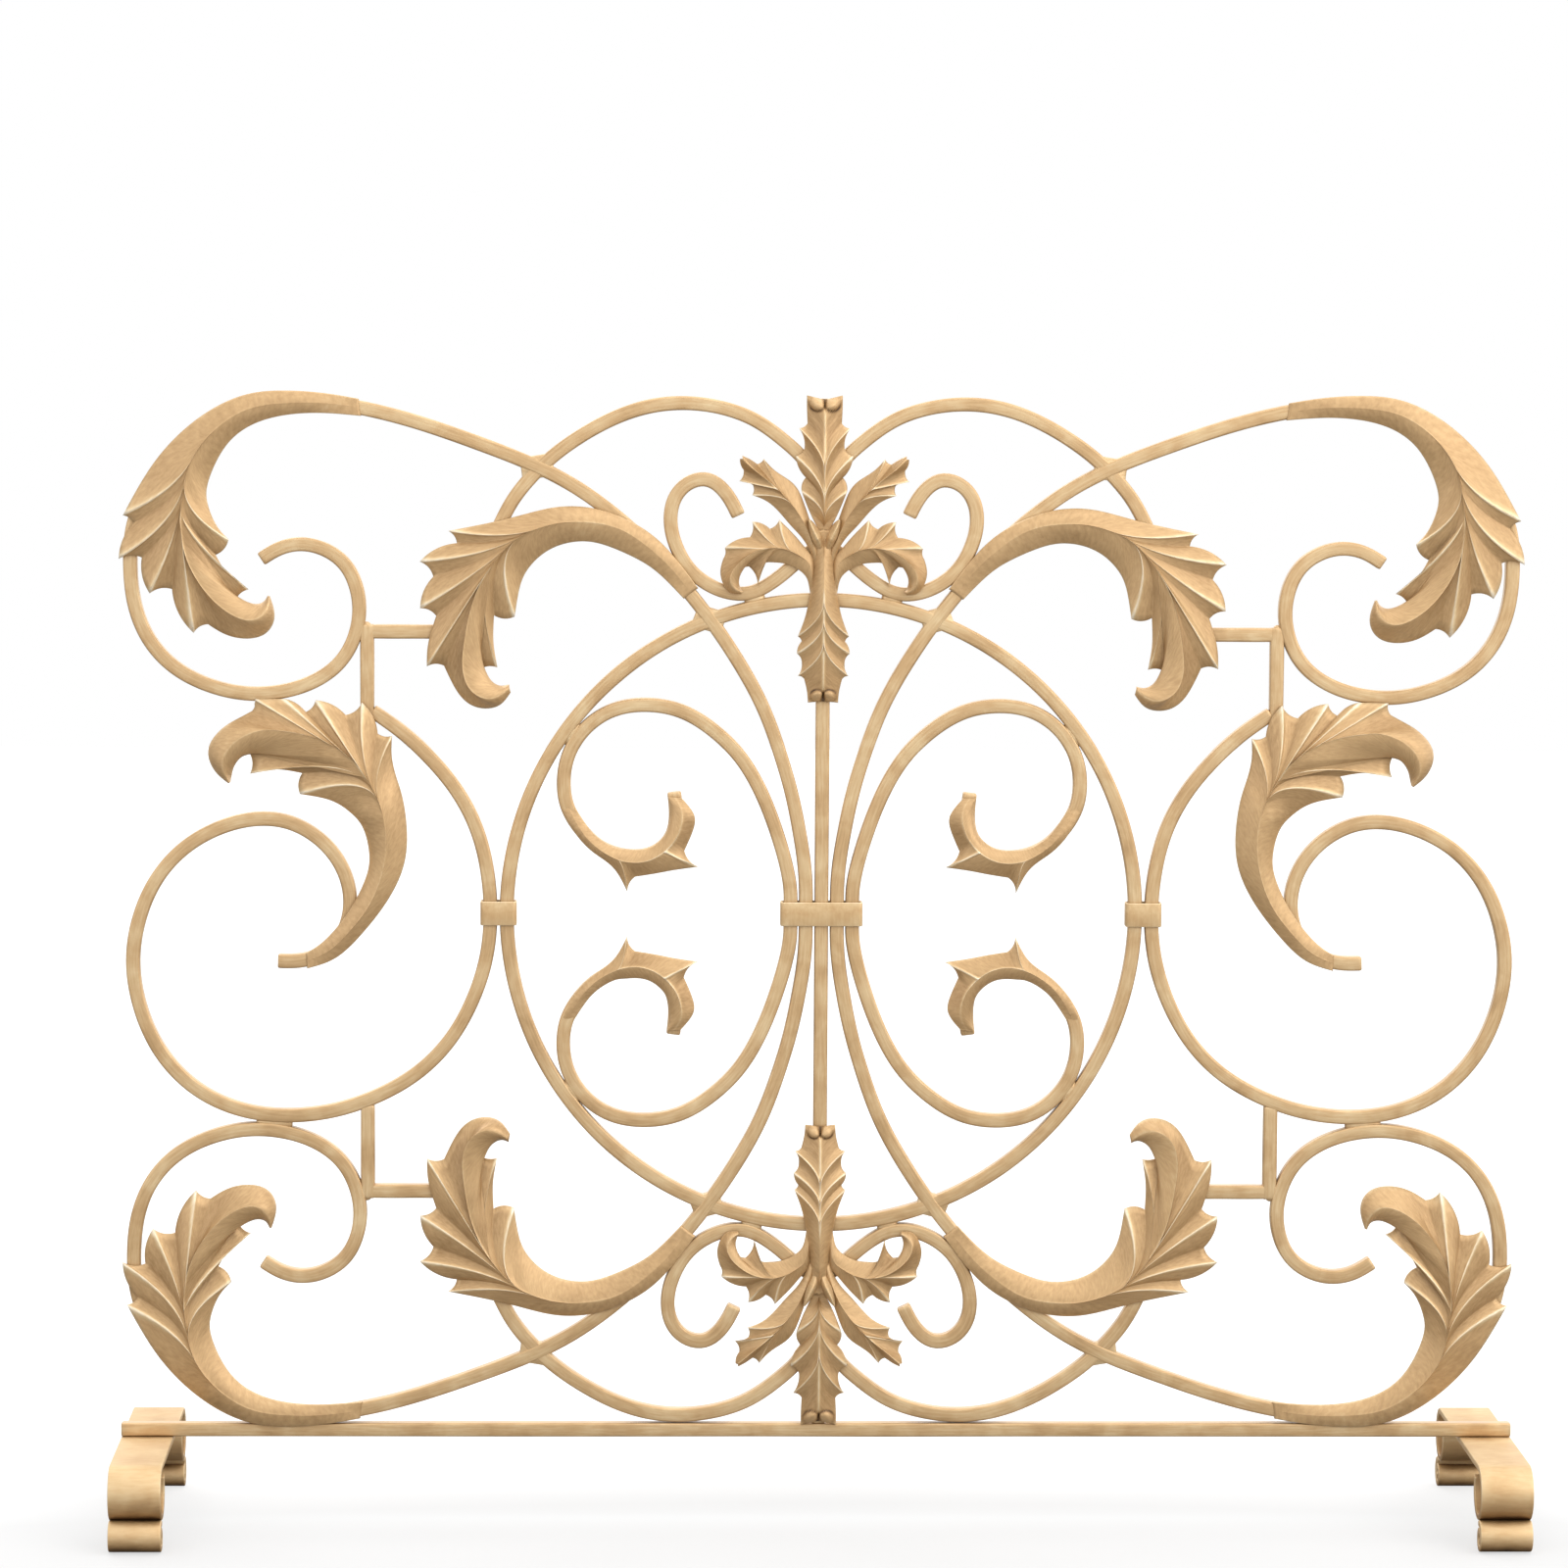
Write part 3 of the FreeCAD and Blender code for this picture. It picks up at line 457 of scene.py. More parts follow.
# Each row has the spine, the outer edge, the inner edge, the rise of the spine and what the two edges
# do there: p plain, t tip of a lobe, n notch.
cornerRows = [
    ((-325, 355.5), (-325.5, 361.5), (-324, 349.5), 2.0, "pp"),
    ((-352, 358.5), (-351, 365.5), (-355, 351.5), 4.5, "pp"),
    ((-381, 358), (-380, 367), (-384, 348.5), 6.0, "pp"),
    ((-406, 352.5), (-408, 363), (-406, 339.5), 8.0, "pp"),
    ((-429, 336), (-438, 347), (-421, 324), 10.0, "pp"),
    ((-443, 315), (-467, 318), (-430.5, 303), 12.0, "pp"),
    ((-447, 298), (-490, 279.5), (-431, 288), 13.0, "tp"),
    ((-448.5, 288), (-482.5, 274), (-425, 273), 13.2, "np"),
    ((-449.5, 278), (-493, 249), (-416.4, 263), 13.4, "tt"),
    ((-449, 268), (-477, 250), (-425.5, 252), 13.4, "nn"),
    ((-447.5, 258), (-471.5, 225), (-417, 239), 13.2, "tp"),
    ((-444.5, 248), (-456, 228), (-402.6, 228), 13.0, "nt"),
    ((-438, 235), (-441, 197.5), (-411.5, 220.5), 13.0, "tn"),
    ((-427, 221), (-431, 203.5), (-405, 216.5), 13.5, "np"),
    ((-414, 211), (-419, 196.5), (-399.5, 216), 14.5, "pp"),
    ((-402, 207), (-405, 193.5), (-395.5, 217.3), 15.0, "pp"),
    ((-393.5, 210), (-391, 197), (-392.5, 219.3), 14.0, "pp"),
    ((-388.8, 217), (-384.5, 209), (-390.5, 221.5), 11.0, "pp"),
    ((-388.3, 223.3), (-387.6, 223.6), (-389, 224), 8.0, "pp")]
innerRows = [
    ((-93, 226.5), (-88, 230), (-98, 222.5), 2.0, "pp"),
    ((-109, 246), (-104, 251), (-116, 240.5), 4.5, "pp"),
    ((-126, 261), (-120, 267), (-132, 251), 6.5, "pp"),
    ((-143, 271.5), (-138, 278), (-149, 258.5), 8.5, "pp"),
    ((-162, 276), (-160, 285.5), (-165, 262.5), 10.0, "pp"),
    ((-184, 276), (-188, 286.5), (-181.5, 261), 11.5, "pp"),
    ((-204, 270.5), (-221, 278.5), (-196.5, 254), 12.5, "pp"),
    ((-216, 264), (-263, 269.6), (-208, 242), 13.2, "tp"),
    ((-224, 256.5), (-257, 261), (-213.5, 228), 13.4, "np"),
    ((-231, 248), (-283, 248), (-216.5, 209.7), 13.6, "tt"),
    ((-237.5, 238.5), (-273.5, 237.5), (-231, 210.5), 13.6, "nn"),
    ((-243, 227.5), (-282.7, 215.3), (-231.5, 199), 13.4, "tp"),
    ((-247, 216), (-271.5, 210), (-231, 188), 13.2, "np"),
    ((-250, 203), (-277, 191), (-228.6, 174), 13.0, "pt"),
    ((-252.3, 188), (-278, 174.5), (-241.5, 172), 13.2, "tn"),
    ((-253, 176), (-266, 175), (-239.5, 165.5), 13.8, "np"),
    ((-250.5, 164), (-257.5, 158), (-235, 160.5), 14.5, "pp"),
    ((-243.5, 155.5), (-248.5, 148.3), (-230, 160), 15.0, "pp"),
    ((-234, 152.8), (-238, 145), (-225.5, 160.8), 14.0, "pp"),
    ((-225.5, 156), (-227, 147.5), (-222.5, 161.6), 11.0, "pp"),
    ((-220.5, 160), (-219.3, 156.5), (-220.2, 162.2), 8.0, "pp")]
sideRows = [
    ((-363, -34), (-362.5, -39.5), (-363, -28.5), 2.0, "pp"),
    ((-347, -26.5), (-342.5, -32), (-352.5, -21.5), 4.5, "pp"),
    ((-332, -12), (-324.5, -15.5), (-341, -9.5), 6.5, "pp"),
    ((-318.5, 6), (-307, 7), (-329, 8), 8.5, "pp"),
    ((-309.5, 28), (-294.8, 32), (-320, 28.5), 10.5, "pp"),
    ((-306.3, 50), (-292, 57), (-318.8, 44.5), 12.0, "pp"),
    ((-308, 68), (-294.7, 80), (-323, 60.5), 13.0, "pp"),
    ((-311.5, 80), (-299, 95), (-332, 71.5), 13.4, "pp"),
    ((-315, 87.5), (-302.5, 110), (-346, 80), 13.6, "pp"),
    ((-319, 94.5), (-302.5, 125.5), (-367, 84.3), 13.6, "tt"),
    ((-323, 100.5), (-312.5, 127), (-365.5, 99), 13.6, "nn"),
    ((-328, 107), (-323.5, 149), (-384, 101.5), 13.4, "tp"),
    ((-335, 113.5), (-335, 140), (-402, 98.5), 13.4, "nt"),
    ((-344, 119.5), (-356, 150.4), (-402.5, 113.5), 13.4, "tn"),
    ((-357, 125), (-363, 142), (-404.5, 113.8), 13.6, "np"),
    ((-371, 128.5), (-378, 151.3), (-406, 112.8), 14.2, "tp"),
    ((-384, 130), (-398.5, 151), (-407.5, 111.5), 14.6, "tp"),
    ((-393, 130), (-400.5, 142.6), (-409, 110), 14.9, "np"),
    ((-404, 126.5), (-410.5, 137.2), (-410.8, 107.8), 15.0, "pp"),
    ((-414.5, 119), (-420.5, 131), (-412.6, 104.5), 14.0, "pp"),
    ((-420, 110), (-429.5, 120.5), (-414, 101), 13.0, "pp"),
    ((-420.5, 102), (-430.8, 109), (-414.8, 97.5), 11.5, "pp"),
    ((-418.3, 96.5), (-425.5, 99), (-415.3, 94.8), 9.5, "pp"),
    ((-416.3, 92.8), (-416.8, 91.8), (-415.5, 92.8), 8.0, "pp")]
budRows = [
    ((-179.7, 77), (-184.5, 77.8), (-174.8, 76.5), 2.0, "pp"),
    ((-169.5, 59), (-174.5, 58), (-164.5, 61), 4.5, "pp"),
    ((-158, 47), (-161, 43.5), (-155, 52), 6.5, "pp"),
    ((-147, 40.5), (-146.8, 32.5), (-145.5, 47), 8.0, "pp"),
    ((-140, 38), (-137, 15.6), (-138.5, 46), 8.5, "tp"),
    ((-131, 37), (-131.5, 26.5), (-131.5, 45.6), 8.5, "np"),
    ((-121, 39), (-116, 29), (-122.5, 47), 8.5, "pp"),
    ((-112.5, 44), (-104, 31.3), (-114.5, 52), 8.5, "pp"),
    ((-106, 50), (-87.3, 33.7), (-109.5, 58.5), 8.5, "tp"),
    ((-101.5, 57), (-97, 45), (-107.3, 66), 8.0, "np"),
    ((-99, 66), (-90, 62.5), (-106.5, 73), 7.0, "pp"),
    ((-99.5, 75), (-91.5, 73), (-107.2, 79), 5.5, "pp"),
    ((-103.8, 82.5), (-99.3, 82.5), (-108.7, 83), 2.0, "pp")]
sprigRows = [
    ((-3.2, 236), (-1.2, 236), (-5.4, 235), 1.5, "pp"),
    ((-4.6, 248), (-2.2, 249), (-7.2, 246), 4.0, "pp"),
    ((-7.5, 260), (-5.0, 263), (-10.2, 257), 6.0, "pp"),
    ((-12, 272), (-9.2, 276), (-16.5, 267), 7.5, "pp"),
    ((-18.5, 283.5), (-14.5, 291), (-24.4, 275.5), 8.0, "pp"),
    ((-26.5, 293.5), (-21.5, 303.5), (-37, 289), 9.0, "pp"),
    ((-33, 300), (-33.5, 312), (-50.5, 295.5), 9.5, "pt"),
    ((-38.5, 305), (-42.5, 321), (-50, 302.5), 10.0, "tn"),
    ((-45.5, 310.5), (-47, 317.3), (-59.5, 305.3), 10.0, "nt"),
    ((-51.5, 315.5), (-52.3, 320.8), (-56.6, 313.2), 10.0, "pn"),
    ((-57.3, 320.9), (-57.6, 323.2), (-59.2, 321), 7.0, "pp")]
frondRows = [
    ((-6.0, 222), (-3.6, 224), (-8.2, 220), 1.5, "pp"),
    ((-7.4, 234), (-5.0, 239), (-9.8, 229), 4.0, "pp"),
    ((-9.6, 246), (-7.2, 251), (-12, 237.5), 5.5, "pp"),
    ((-15, 252), (-13.2, 259), (-18, 243.5), 6.0, "pp"),
    ((-22, 256), (-20.5, 267.5), (-27, 247.5), 8.0, "pp"),
    ((-28.5, 258.3), (-31.5, 278.5), (-36, 248.5), 9.0, "tp"),
    ((-34, 259), (-38, 272), (-43.5, 246), 9.5, "np"),
    ((-40, 258.5), (-50.5, 277), (-46.5, 231.5), 10.0, "tt"),
    ((-46.5, 257), (-52, 266), (-52.5, 245.5), 10.0, "nn"),
    ((-52.5, 254), (-69.5, 258.5), (-57.5, 244), 10.5, "tp"),
    ((-58.5, 249.5), (-70.5, 251), (-60, 239), 11.0, "np"),
    ((-64, 243), (-72.5, 242), (-60, 234.5), 11.0, "pp"),
    ((-65.5, 236), (-70.5, 233), (-58.7, 231.5), 10.5, "pp"),
    ((-62.5, 230.5), (-65.5, 227), (-57.7, 229.2), 9.0, "pp"),
    ((-57.6, 227.6), (-58, 226.2), (-56.6, 228.3), 7.0, "pp")]
# Half of a leaf with two equal sides: the spine, one edge, the rise and what the edge does there.
crownHalf = [
    ((0, 270.3), (3, 270.3), 2.0, "p"),
    ((0, 280), (9.3, 282), 7.0, "p"),
    ((0, 288), (15.8, 298), 10.0, "t"),
    ((0, 296), (13, 308), 11.0, "n"),
    ((0, 308), (20, 323), 12.0, "t"),
    ((0, 317), (14, 328.5), 12.0, "n"),
    ((0, 329), (18, 342.5), 11.0, "t"),
    ((0, 337), (12, 346), 10.0, "n"),
    ((0, 353), (12.5, 357), 8.5, "p"),
    ((0, 362.5), (12.5, 365.5), 2.0, "p")]
pendantHalf = [
    ((0, 272), (4.4, 271.2), 5.0, "p"),
    ((0, 258), (5.8, 257), 9.5, "p"),
    ((0, 241), (7.6, 240), 12.0, "p"),
    ((0, 227), (9.7, 225), 13.0, "p"),
    ((0, 218), (13, 210), 12.5, "p"),
    ((0, 210), (18, 196.5), 12.0, "t"),
    ((0, 202), (15.3, 193), 11.5, "n"),
    ((0, 196), (18.5, 184.5), 11.0, "t"),
    ((0, 187), (15, 177.5), 10.5, "n"),
    ((0, 180), (17.7, 168.8), 10.0, "t"),
    ((0, 172), (13.3, 166.5), 9.0, "n"),
    ((0, 161), (11.3, 158), 7.0, "p"),
    ((0, 151), (10.6, 150), 2.0, "p")]
petalRows = [
    ((-0.8, 255), (0.6, 256), (-3.4, 254), 10.5, "pp"),
    ((-3.2, 262), (-0.6, 264.5), (-7, 260.5), 13.0, "pp"),
    ((-6.2, 268.5), (-3.6, 271.5), (-10.4, 267), 13.5, "pp"),
    ((-8.8, 274), (-7.2, 276.5), (-11.2, 273.5), 13.0, "pp"),
    ((-10.6, 278.5), (-10.4, 279.2), (-11.2, 278.6), 11.0, "pp")]
leafSettings = {
    "sheet": 2.0,        # thickness
    "perRow": 14,        # fine steps between two rows
    "across": 17,        # fine steps from the spine to an edge
    "relief": 0.82,      # share of the drawn rise of the spine
    "rib": 1.4,          # height of a lobe's ridge over the hollow beside it
    "ribGap": 11.0,      # rows at least this far apart have their ribs at full height
    "ease": 0.2,         # share of the way out over which ribs and veins rise
    "vein": (1.0, 0.11), # thin raised line on the ridge: height, and width as a share of a row
    "crest": (0.5, 1.0), # height and width of the line along the spine
    "fan": 0.42,         # how far a vein runs along the spine before it turns out
    "swell": 0.10,       # how far a lobe's edge bows out
    "hollow": 0.13,      # and in, on its way to the notch
    "roof": 1.25,        # 1 is a straight fall from spine to edge, more is rounder
    "stem": 1.9,         # the same where there are no lobes
    "strokes": 9.0}      # millimetres of brush stroke to a row
# Tones: vein and crest add paler lines, partly rubbed wear and partly painted highlight; hollow darkens, dark
# glaze and painted shade; edge is rubbed paler.
leafTones = {"plain": 0.40, "vein": 0.36, "crest": 0.32, "hollow": 0.10, "edge": 0.12,
             "rim": 0.55, "back": 0.4}


def edgeLine(points, marks, perRow):
    # Cubics between tips and notches, sharp at them. A stretch of one row is a parabola over its chord,
    # chord + out * bow * 4 f (1 - f): it bows out on its way to a tip and in after it.
    p = np.array(points, float)
    swell, hollow = leafSettings["swell"], leafSettings["hollow"]
    stops = [0] + [k for k in range(1, len(p) - 1) if marks[k] != "p"] + [len(p) - 1]
    parts = []
    for a, b in zip(stops[:-1], stops[1:]):
        at = np.arange(a, b, 1 / perRow)[: (b - a) * perRow]
        if b - a == 1:
            run = p[b] - p[a]
            out = np.array([run[1], -run[0]])
            out = out if out @ (p[a] - p.mean(0)) > 0 else -out
            bow = {"nt": swell, "np": swell, "tt": 0.0}.get(marks[a] + marks[b], -hollow)
            f = (at - a)[:, None]
            parts.append(p[a] * (1 - f) + p[b] * f + out * bow * 4 * f * (1 - f))
        else:
            parts.append(cubic(np.arange(a, b + 1.0), p[a:b + 1], at))
    return np.concatenate(parts + [p[-1:]])


def ridgeLevel(marks, w):
    # Level: 1 on a tip's vein, 0 at the notches beside it, falling as (1 - g) to the power 1.5, where g is
    # the share of the way. Sharp: a bell of the vein's width. A lobe without a notch reaches 3 rows back
    # and 2 on.
    tips = [k for k, m in enumerate(marks) if m == "t"]
    stops = [k for k, m in enumerate(marks) if m == "n"]
    level = np.zeros_like(w)
    sharp = np.zeros_like(w)
    for tip in tips:
        before = max([s for s in stops if s < tip] + [tip - 3])
        after = min([s for s in stops if s > tip] + [tip + 2])
        g = np.where(w < tip, (tip - w) / (tip - before), (w - tip) / (after - tip))
        level = np.maximum(level, np.clip(1 - g, 0, 1) ** 1.5)
        sharp = np.maximum(sharp, np.exp(-((w - tip) / leafSettings["vein"][1]) ** 2))
    return level, sharp


def veinRoots(rows, gather, start, arching):
    # For each fine row w of the outline, where its vein leaves the spine: gather gives that as a row of the
    # spine, smoothed over two thirds of a row. Returned are the place root, the spine's unit direction ahead,
    # fan, how far the vein bends ahead (most where roots lie close), and the heights of edge and spine.
    s = leafSettings
    n = len(rows)
    rowsAt = np.arange(n, dtype=float)
    w = np.arange(0, (n - 1) * s["perRow"] + 1) / s["perRow"]
    spine = np.array([r[0] for r in rows], float)
    rise = np.array([r[3] for r in rows], float) * s["relief"]
    foot = np.interp(w, [g[0] for g in gather], [g[1] for g in gather])
    blur = np.ones(2 * s["perRow"] // 3 + 1)
    reach = len(blur) // 2
    foot[reach:-reach] = np.convolve(foot, blur / blur.sum(), "valid")[:len(foot) - 2 * reach]
    root = cubic(rowsAt, spine, foot)
    ahead = np.gradient(cubic(rowsAt, spine, w), axis=0)
    ahead /= np.linalg.norm(ahead, axis=1)[:, None]
    ahead = np.stack([np.interp(foot, w, ahead[:, k]) for k in (0, 1)], 1)
    gathered = np.clip((1.05 - np.gradient(foot, w)) / 0.5, 0, 1)
    fan = s["fan"] * np.maximum(gathered, arching * np.clip((n - 1 - w) / 1.5, 0, 1))
    tipLow = max(s["sheet"], rise[-1] - 1.5)
    low = np.interp(w, [0, 2, n - 2.5, n - 1], [start, s["sheet"], s["sheet"], tipLow])
    top = cubic(rowsAt, rise[:, None], foot)[:, 0]
    top = low + (top - low) * np.clip(w / 1.5, 0, 1)
    return w, root, ahead, fan, low, top


def leafHalf(rows, k, roots, arching):
    # Surface over (w, f): w follows the outline row by row, f goes from the spine to edge k.
    # Place: root (1-f)^2 + 2 bend f (1-f) + edge f^2, where bend lies ahead on the spine while veins gather.
    # Height: low + (top - low)(1 - away^roof), where away is the distance from the root (or, arching, from
    # the spine) over that of the edge, plus ribs, rib * level * ease(f) * (row spacing / ribGap), plus veins
    # and crest, which are bells.
    s, shade = leafSettings, leafTones
    w, root, ahead, fan, low, top = roots
    f = np.linspace(0, 1, s["across"] + 1)[None, :]
    marks = [r[4][k - 1] for r in rows]
    edge = edgeLine([r[k] for r in rows], marks, s["perRow"])
    level, sharp = [v[:, None] for v in ridgeLevel(marks, w)]
    beside = [1.0 if any(m != "p" for m in marks[max(0, i - 1):i + 2]) else 0.0 for i in range(len(rows))]
    lobed = np.interp(w, np.arange(len(rows)), beside)[:, None]
    length = np.linalg.norm(edge - root, axis=1)
    bend = root + ahead * (fan * length)[:, None]
    flat = (root[:, None] * ((1 - f) ** 2)[..., None] + 2 * bend[:, None] * (f * (1 - f))[..., None]
            + edge[:, None] * (f ** 2)[..., None])
    spacing = np.linalg.norm(np.gradient(flat, axis=0), axis=2) * s["perRow"] / s["ribGap"]
    ease = np.clip(f / s["ease"], 0, 1) * np.clip(spacing, 0, 1)
    gone = flat - root[:, None]
    sideways = np.abs(gone[..., 0] * ahead[:, None, 1] - gone[..., 1] * ahead[:, None, 0])
    apart = sideways if arching else np.linalg.norm(gone, axis=2)
    away = np.clip(apart / apart[:, -1:], 0, 1)
    body = low[:, None] + (top - low)[:, None] * (1 - away ** (s["stem"] + (s["roof"] - s["stem"]) * lobed))
    ribs = s["rib"] * ease * (level - 0.25) * lobed
    veins = s["vein"][0] * ease * np.clip((1.08 - f) / 0.3, 0, 1) * sharp
    crest = np.exp(-(apart / s["crest"][1]) ** 2) * (0.3 + 0.7 * lobed)
    height = np.maximum(body + ribs + veins, low[:, None])
    height = height + s["crest"][0] * crest * np.clip(w / 3, 0, 1)[:, None]
    # Paler on the veins and on the spine's crest: partly rubbed wear, partly painted highlight.
    rubAndHighlight = (shade["vein"] * sharp * np.clip(f / s["ease"], 0, 1)
              + shade["crest"] * crest * np.clip((w - 2) / 2, 0, 1)[:, None])
    # Darker in the hollows beside the ribs: dark glaze and painted shade.
    hollowGlazeAndShade = shade["hollow"] * lobed * (1 - level) ** 2 * ease
    tone = shade["plain"] + rubAndHighlight - hollowGlazeAndShade + shade["edge"] * np.clip((f - 0.94) / 0.06, 0, 1)
    return flat, height, tone


def leafPart(rows, gather, start=0.3, arching=0.0):
    # Both halves side by side over one spine. The first row lies start over the bar: under 0 the leaf comes
    # out of the bar without a step. Veins bend where they gather; arching 1 bends all but the last rows.
    roots = veinRoots(rows, gather, start, arching)
    halves = [leafHalf(rows, k, roots, arching) for k in (1, 2)]
    return [np.concatenate([one[:, ::-1], two[:, 1:]], 1) for one, two in zip(*halves)]


def shellPart(flat, height, tone):
    # Front sheet (x, -half - height, z), a rim half a thickness back, and the back sheet a thickness behind.
    # The brush went along the veins: lay is the way out from the spine and the way along the outline.
    flat = flat * spread
    thick = leafSettings["sheet"]
    front = np.stack([flat[..., 0], -half - height, np.minimum(middle + flat[..., 1], cadHigh[2] / mm)], -1)
    back = front + [0, thick, 0]
    rimLeft = front[:, :1] + [0, thick / 2, 0]
    rimRight = front[:, -1:] + [0, thick / 2, 0]
    loop = np.concatenate([front, rimRight, back[:, ::-1], rimLeft], 1)
    rows, cols = loop.shape[:2]
    faces = gridFaces(rows, cols).tolist() + capFaces(rows, cols)
    rim = np.full((rows, 1), leafTones["rim"])
    shade = np.concatenate([tone, rim, np.full_like(tone, leafTones["back"]), rim], 1)
    out = np.cumsum(np.linalg.norm(np.diff(loop, axis=1, prepend=loop[:, :1]), axis=2), 1)
    down = np.linspace(0, rows / leafSettings["perRow"] * leafSettings["strokes"], rows)
    down = np.broadcast_to(down[:, None], out.shape)
    return loop.reshape(-1, 3), faces, shade.reshape(-1), np.stack([out, down], -1).reshape(-1, 2)


def bothSides(halfRows):
    # whole rows from half ones: the other edge is the same at -x
    return [(spine, (-edge[0], edge[1]), edge, rise, mark + mark) for spine, edge, rise, mark in halfRows]


# For each leaf: its rows, from which row of the spine each row's vein starts, and the first row's height.
leaves = {
    "corner_leaf": (cornerRows, [(0, 0), (4, 3.9), (6, 4.8), (8, 5.6), (10, 6.6), (11, 7.2), (12, 8.2),
                                 (13, 9.6), (15, 12.8), (18, 18)], 0.3),
    "inner_leaf": (innerRows, [(0, 0), (5, 4.8), (7, 5.8), (9, 6.6), (11, 7.5), (13, 8.5), (14, 9.2),
                               (15, 10.4), (17, 13.6), (20, 20)], 0.3),
    "bud": (budRows, [(0, 0), (3, 2.7), (4, 3.4), (8, 7.2), (10, 9.6), (12, 12)], -0.6),
    "sprig": (sprigRows, [(0, 0), (2, 2), (6, 4.6), (7, 5.2), (8, 6.0), (9, 7.8), (10, 10)], 0.3),
    "frond": (frondRows, [(0, 0), (2, 2), (5, 4.0), (7, 5.2), (9, 6.8), (10, 8.0), (12, 11.0),
                          (14, 14)], 0.3)}
for kind, (rows, gather, start) in leaves.items():
    part = shellPart(*leafPart(rows, gather, start))
    for mirror, tag in sides:
        for low, level in levels:
            node = "%s_%s_%s" % (kind, level, tag)
            makePiece("pressed_" + node, part, leafGold, [node], mirror, low)
sideGather = [(0, 0), (7, 6.2), (9, 6.9), (11, 7.8), (12, 8.4), (13, 9.2), (14, 10.4), (15, 11.6),
              (17, 14.6), (23, 23)]
sideLeaf = shellPart(*leafPart(sideRows, sideGather))
for mirror, tag in sides:
    makePiece("pressed_side_leaf_" + tag, sideLeaf, leafGold, ["side_leaf_" + tag], mirror)


endSettings = {
    "cup": 2.2,          # rise of the two little cups at a leaf's cut end
    "notch": 3.0,        # depth of the notch between them
    "bright": 0.08,      # paler on the cups
    "glazeAndShade": 0.45}       # painted shadow with dark glaze, round the cups and in the notch


def curledEnd(flat, height, tone, end, size):
    # d: distance from a cup's centre over its radius. Cup: cup * sqrt(1 - d^2), with glaze and painted shadow
    # where
    # d is near 1. Notch: a triangle from the end inwards, size wide and as deep, darkened as painted shadow.
    inward = np.abs(flat[..., 1] - end)
    radius = 0.55 * size
    d = np.hypot(np.abs(flat[..., 0]) - radius, inward - 0.5 * size) / radius
    cup = np.sqrt(np.clip(1 - d ** 2, 0, 1))
    rim = np.exp(-((d - 1.1) / 0.16) ** 2) * np.clip(inward / size, 0, 1)
    narrowing = 1.2 - inward / size
    notch = np.clip(1 - np.abs(flat[..., 0]) / (0.3 * size * np.clip(narrowing, 0.01, 2)), 0, 1)
    notch = notch * np.clip(narrowing, 0, 1)
    s = endSettings
    height = np.maximum(height + s["cup"] * cup - s["notch"] * notch, leafSettings["sheet"])
    # paler on the cups; darker round them and in the notch: painted shadow with dark glaze
    return flat, height, np.clip(tone + s["bright"] * cup - s["glazeAndShade"] * (0.8 * rim + notch), 0, 1)


# the crown with two small petals at its foot, and the pendant under it, each with its curled end
petal = shellPart(*leafPart(petalRows, [(0, 0), (4, 4)], 3.0))
# the petals are painted paler all over: a painted highlight
petalHighlight = 0.10
petalPair = [(petal[0] * [way, 1, 1], [f[::way] for f in petal[1]], petal[2] + petalHighlight, petal[3])
             for way in (1, -1)]
crownGather = [(0, 0), (2, 0.8), (4, 2.4), (6, 4.4), (8, 7.2), (9, 9)]
crown = shellPart(*curledEnd(*leafPart(bothSides(crownHalf), crownGather, arching=1.0), end=365, size=9.5))
crown = joined([crown] + petalPair)
pendantGather = [(0, 0), (3, 2.4), (5, 3.4), (7, 5.2), (9, 7.2), (11, 10.4), (12, 12)]
pendant = leafPart(bothSides(pendantHalf), pendantGather, 4.0, arching=1.0)
pendant = shellPart(*curledEnd(*pendant, end=150.5, size=8.0))
for low, level in levels:
    makePiece("pressed_crown_" + level, crown, leafGold, ["crown_leaf_" + level], False, low)
    makePiece("pressed_pendant_" + level, pendant, leafGold, ["pendant_leaf_" + level], False, low)
print("leaves ready")


# Collars: a strap bent round the bars.
strap = {"wall": 2.0, "bend": 1.8, "edge": 0.7, "tone": 0.47, "worn": 0.22}


def collarPart(low, high):
    # The strap's section carried round a rectangle with round corners: quarter circles of radius bend, and
    # five points on the straight from the end of one to the start of the next.
    centre = (low + high) / 2
    ax, ay = (high[:2] - low[:2]) / 2 - strap["wall"] / 2 - strap["bend"]
    turn = np.linspace(0, math.pi / 2, 7)
    between = np.linspace(0.15, 0.85, 5)[:, None]
    bends = []
    for k, (a, b) in enumerate(((1, 1), (-1, 1), (-1, -1), (1, -1))):
        angle = turn + k * math.pi / 2
        bends.append([a * ax, b * ay] + strap["bend"] * np.stack([np.cos(angle), np.sin(angle)], 1))
    flat = np.concatenate([v for here, after in zip(bends, bends[1:] + bends[:1])
                           for v in (here, here[-1] + (after[0] - here[-1]) * between)])
    line = np.stack([centre[0] + flat[:, 0], centre[1] + flat[:, 1], np.full(len(flat), middle)], 1)
    run = np.roll(line, -1, 0) - np.roll(line, 1, 0)
    run /= np.linalg.norm(run, axis=1)[:, None]
    side = np.stack([run[:, 1], -run[:, 0], 0 * run[:, 0]], 1)
    up = np.tile([0.0, 0.0, 1.0], (len(line), 1))
    outline, worn = roundedBox(strap["wall"] / 2, (high[2] - low[2]) / 2, strap["edge"], 4)
    verts, faces, lay = sweep(line, side, up, outline, closed=True)
    return verts, faces, strap["tone"] + strap["worn"] * np.tile(worn, len(lay) // len(worn)) ** 2, lay


for tag in ("centre", "left", "right"):
    makePiece("strap_" + tag, collarPart(*edgesOf("collar_" + tag)), collarGold, ["collar_" + tag])
print("collars ready")


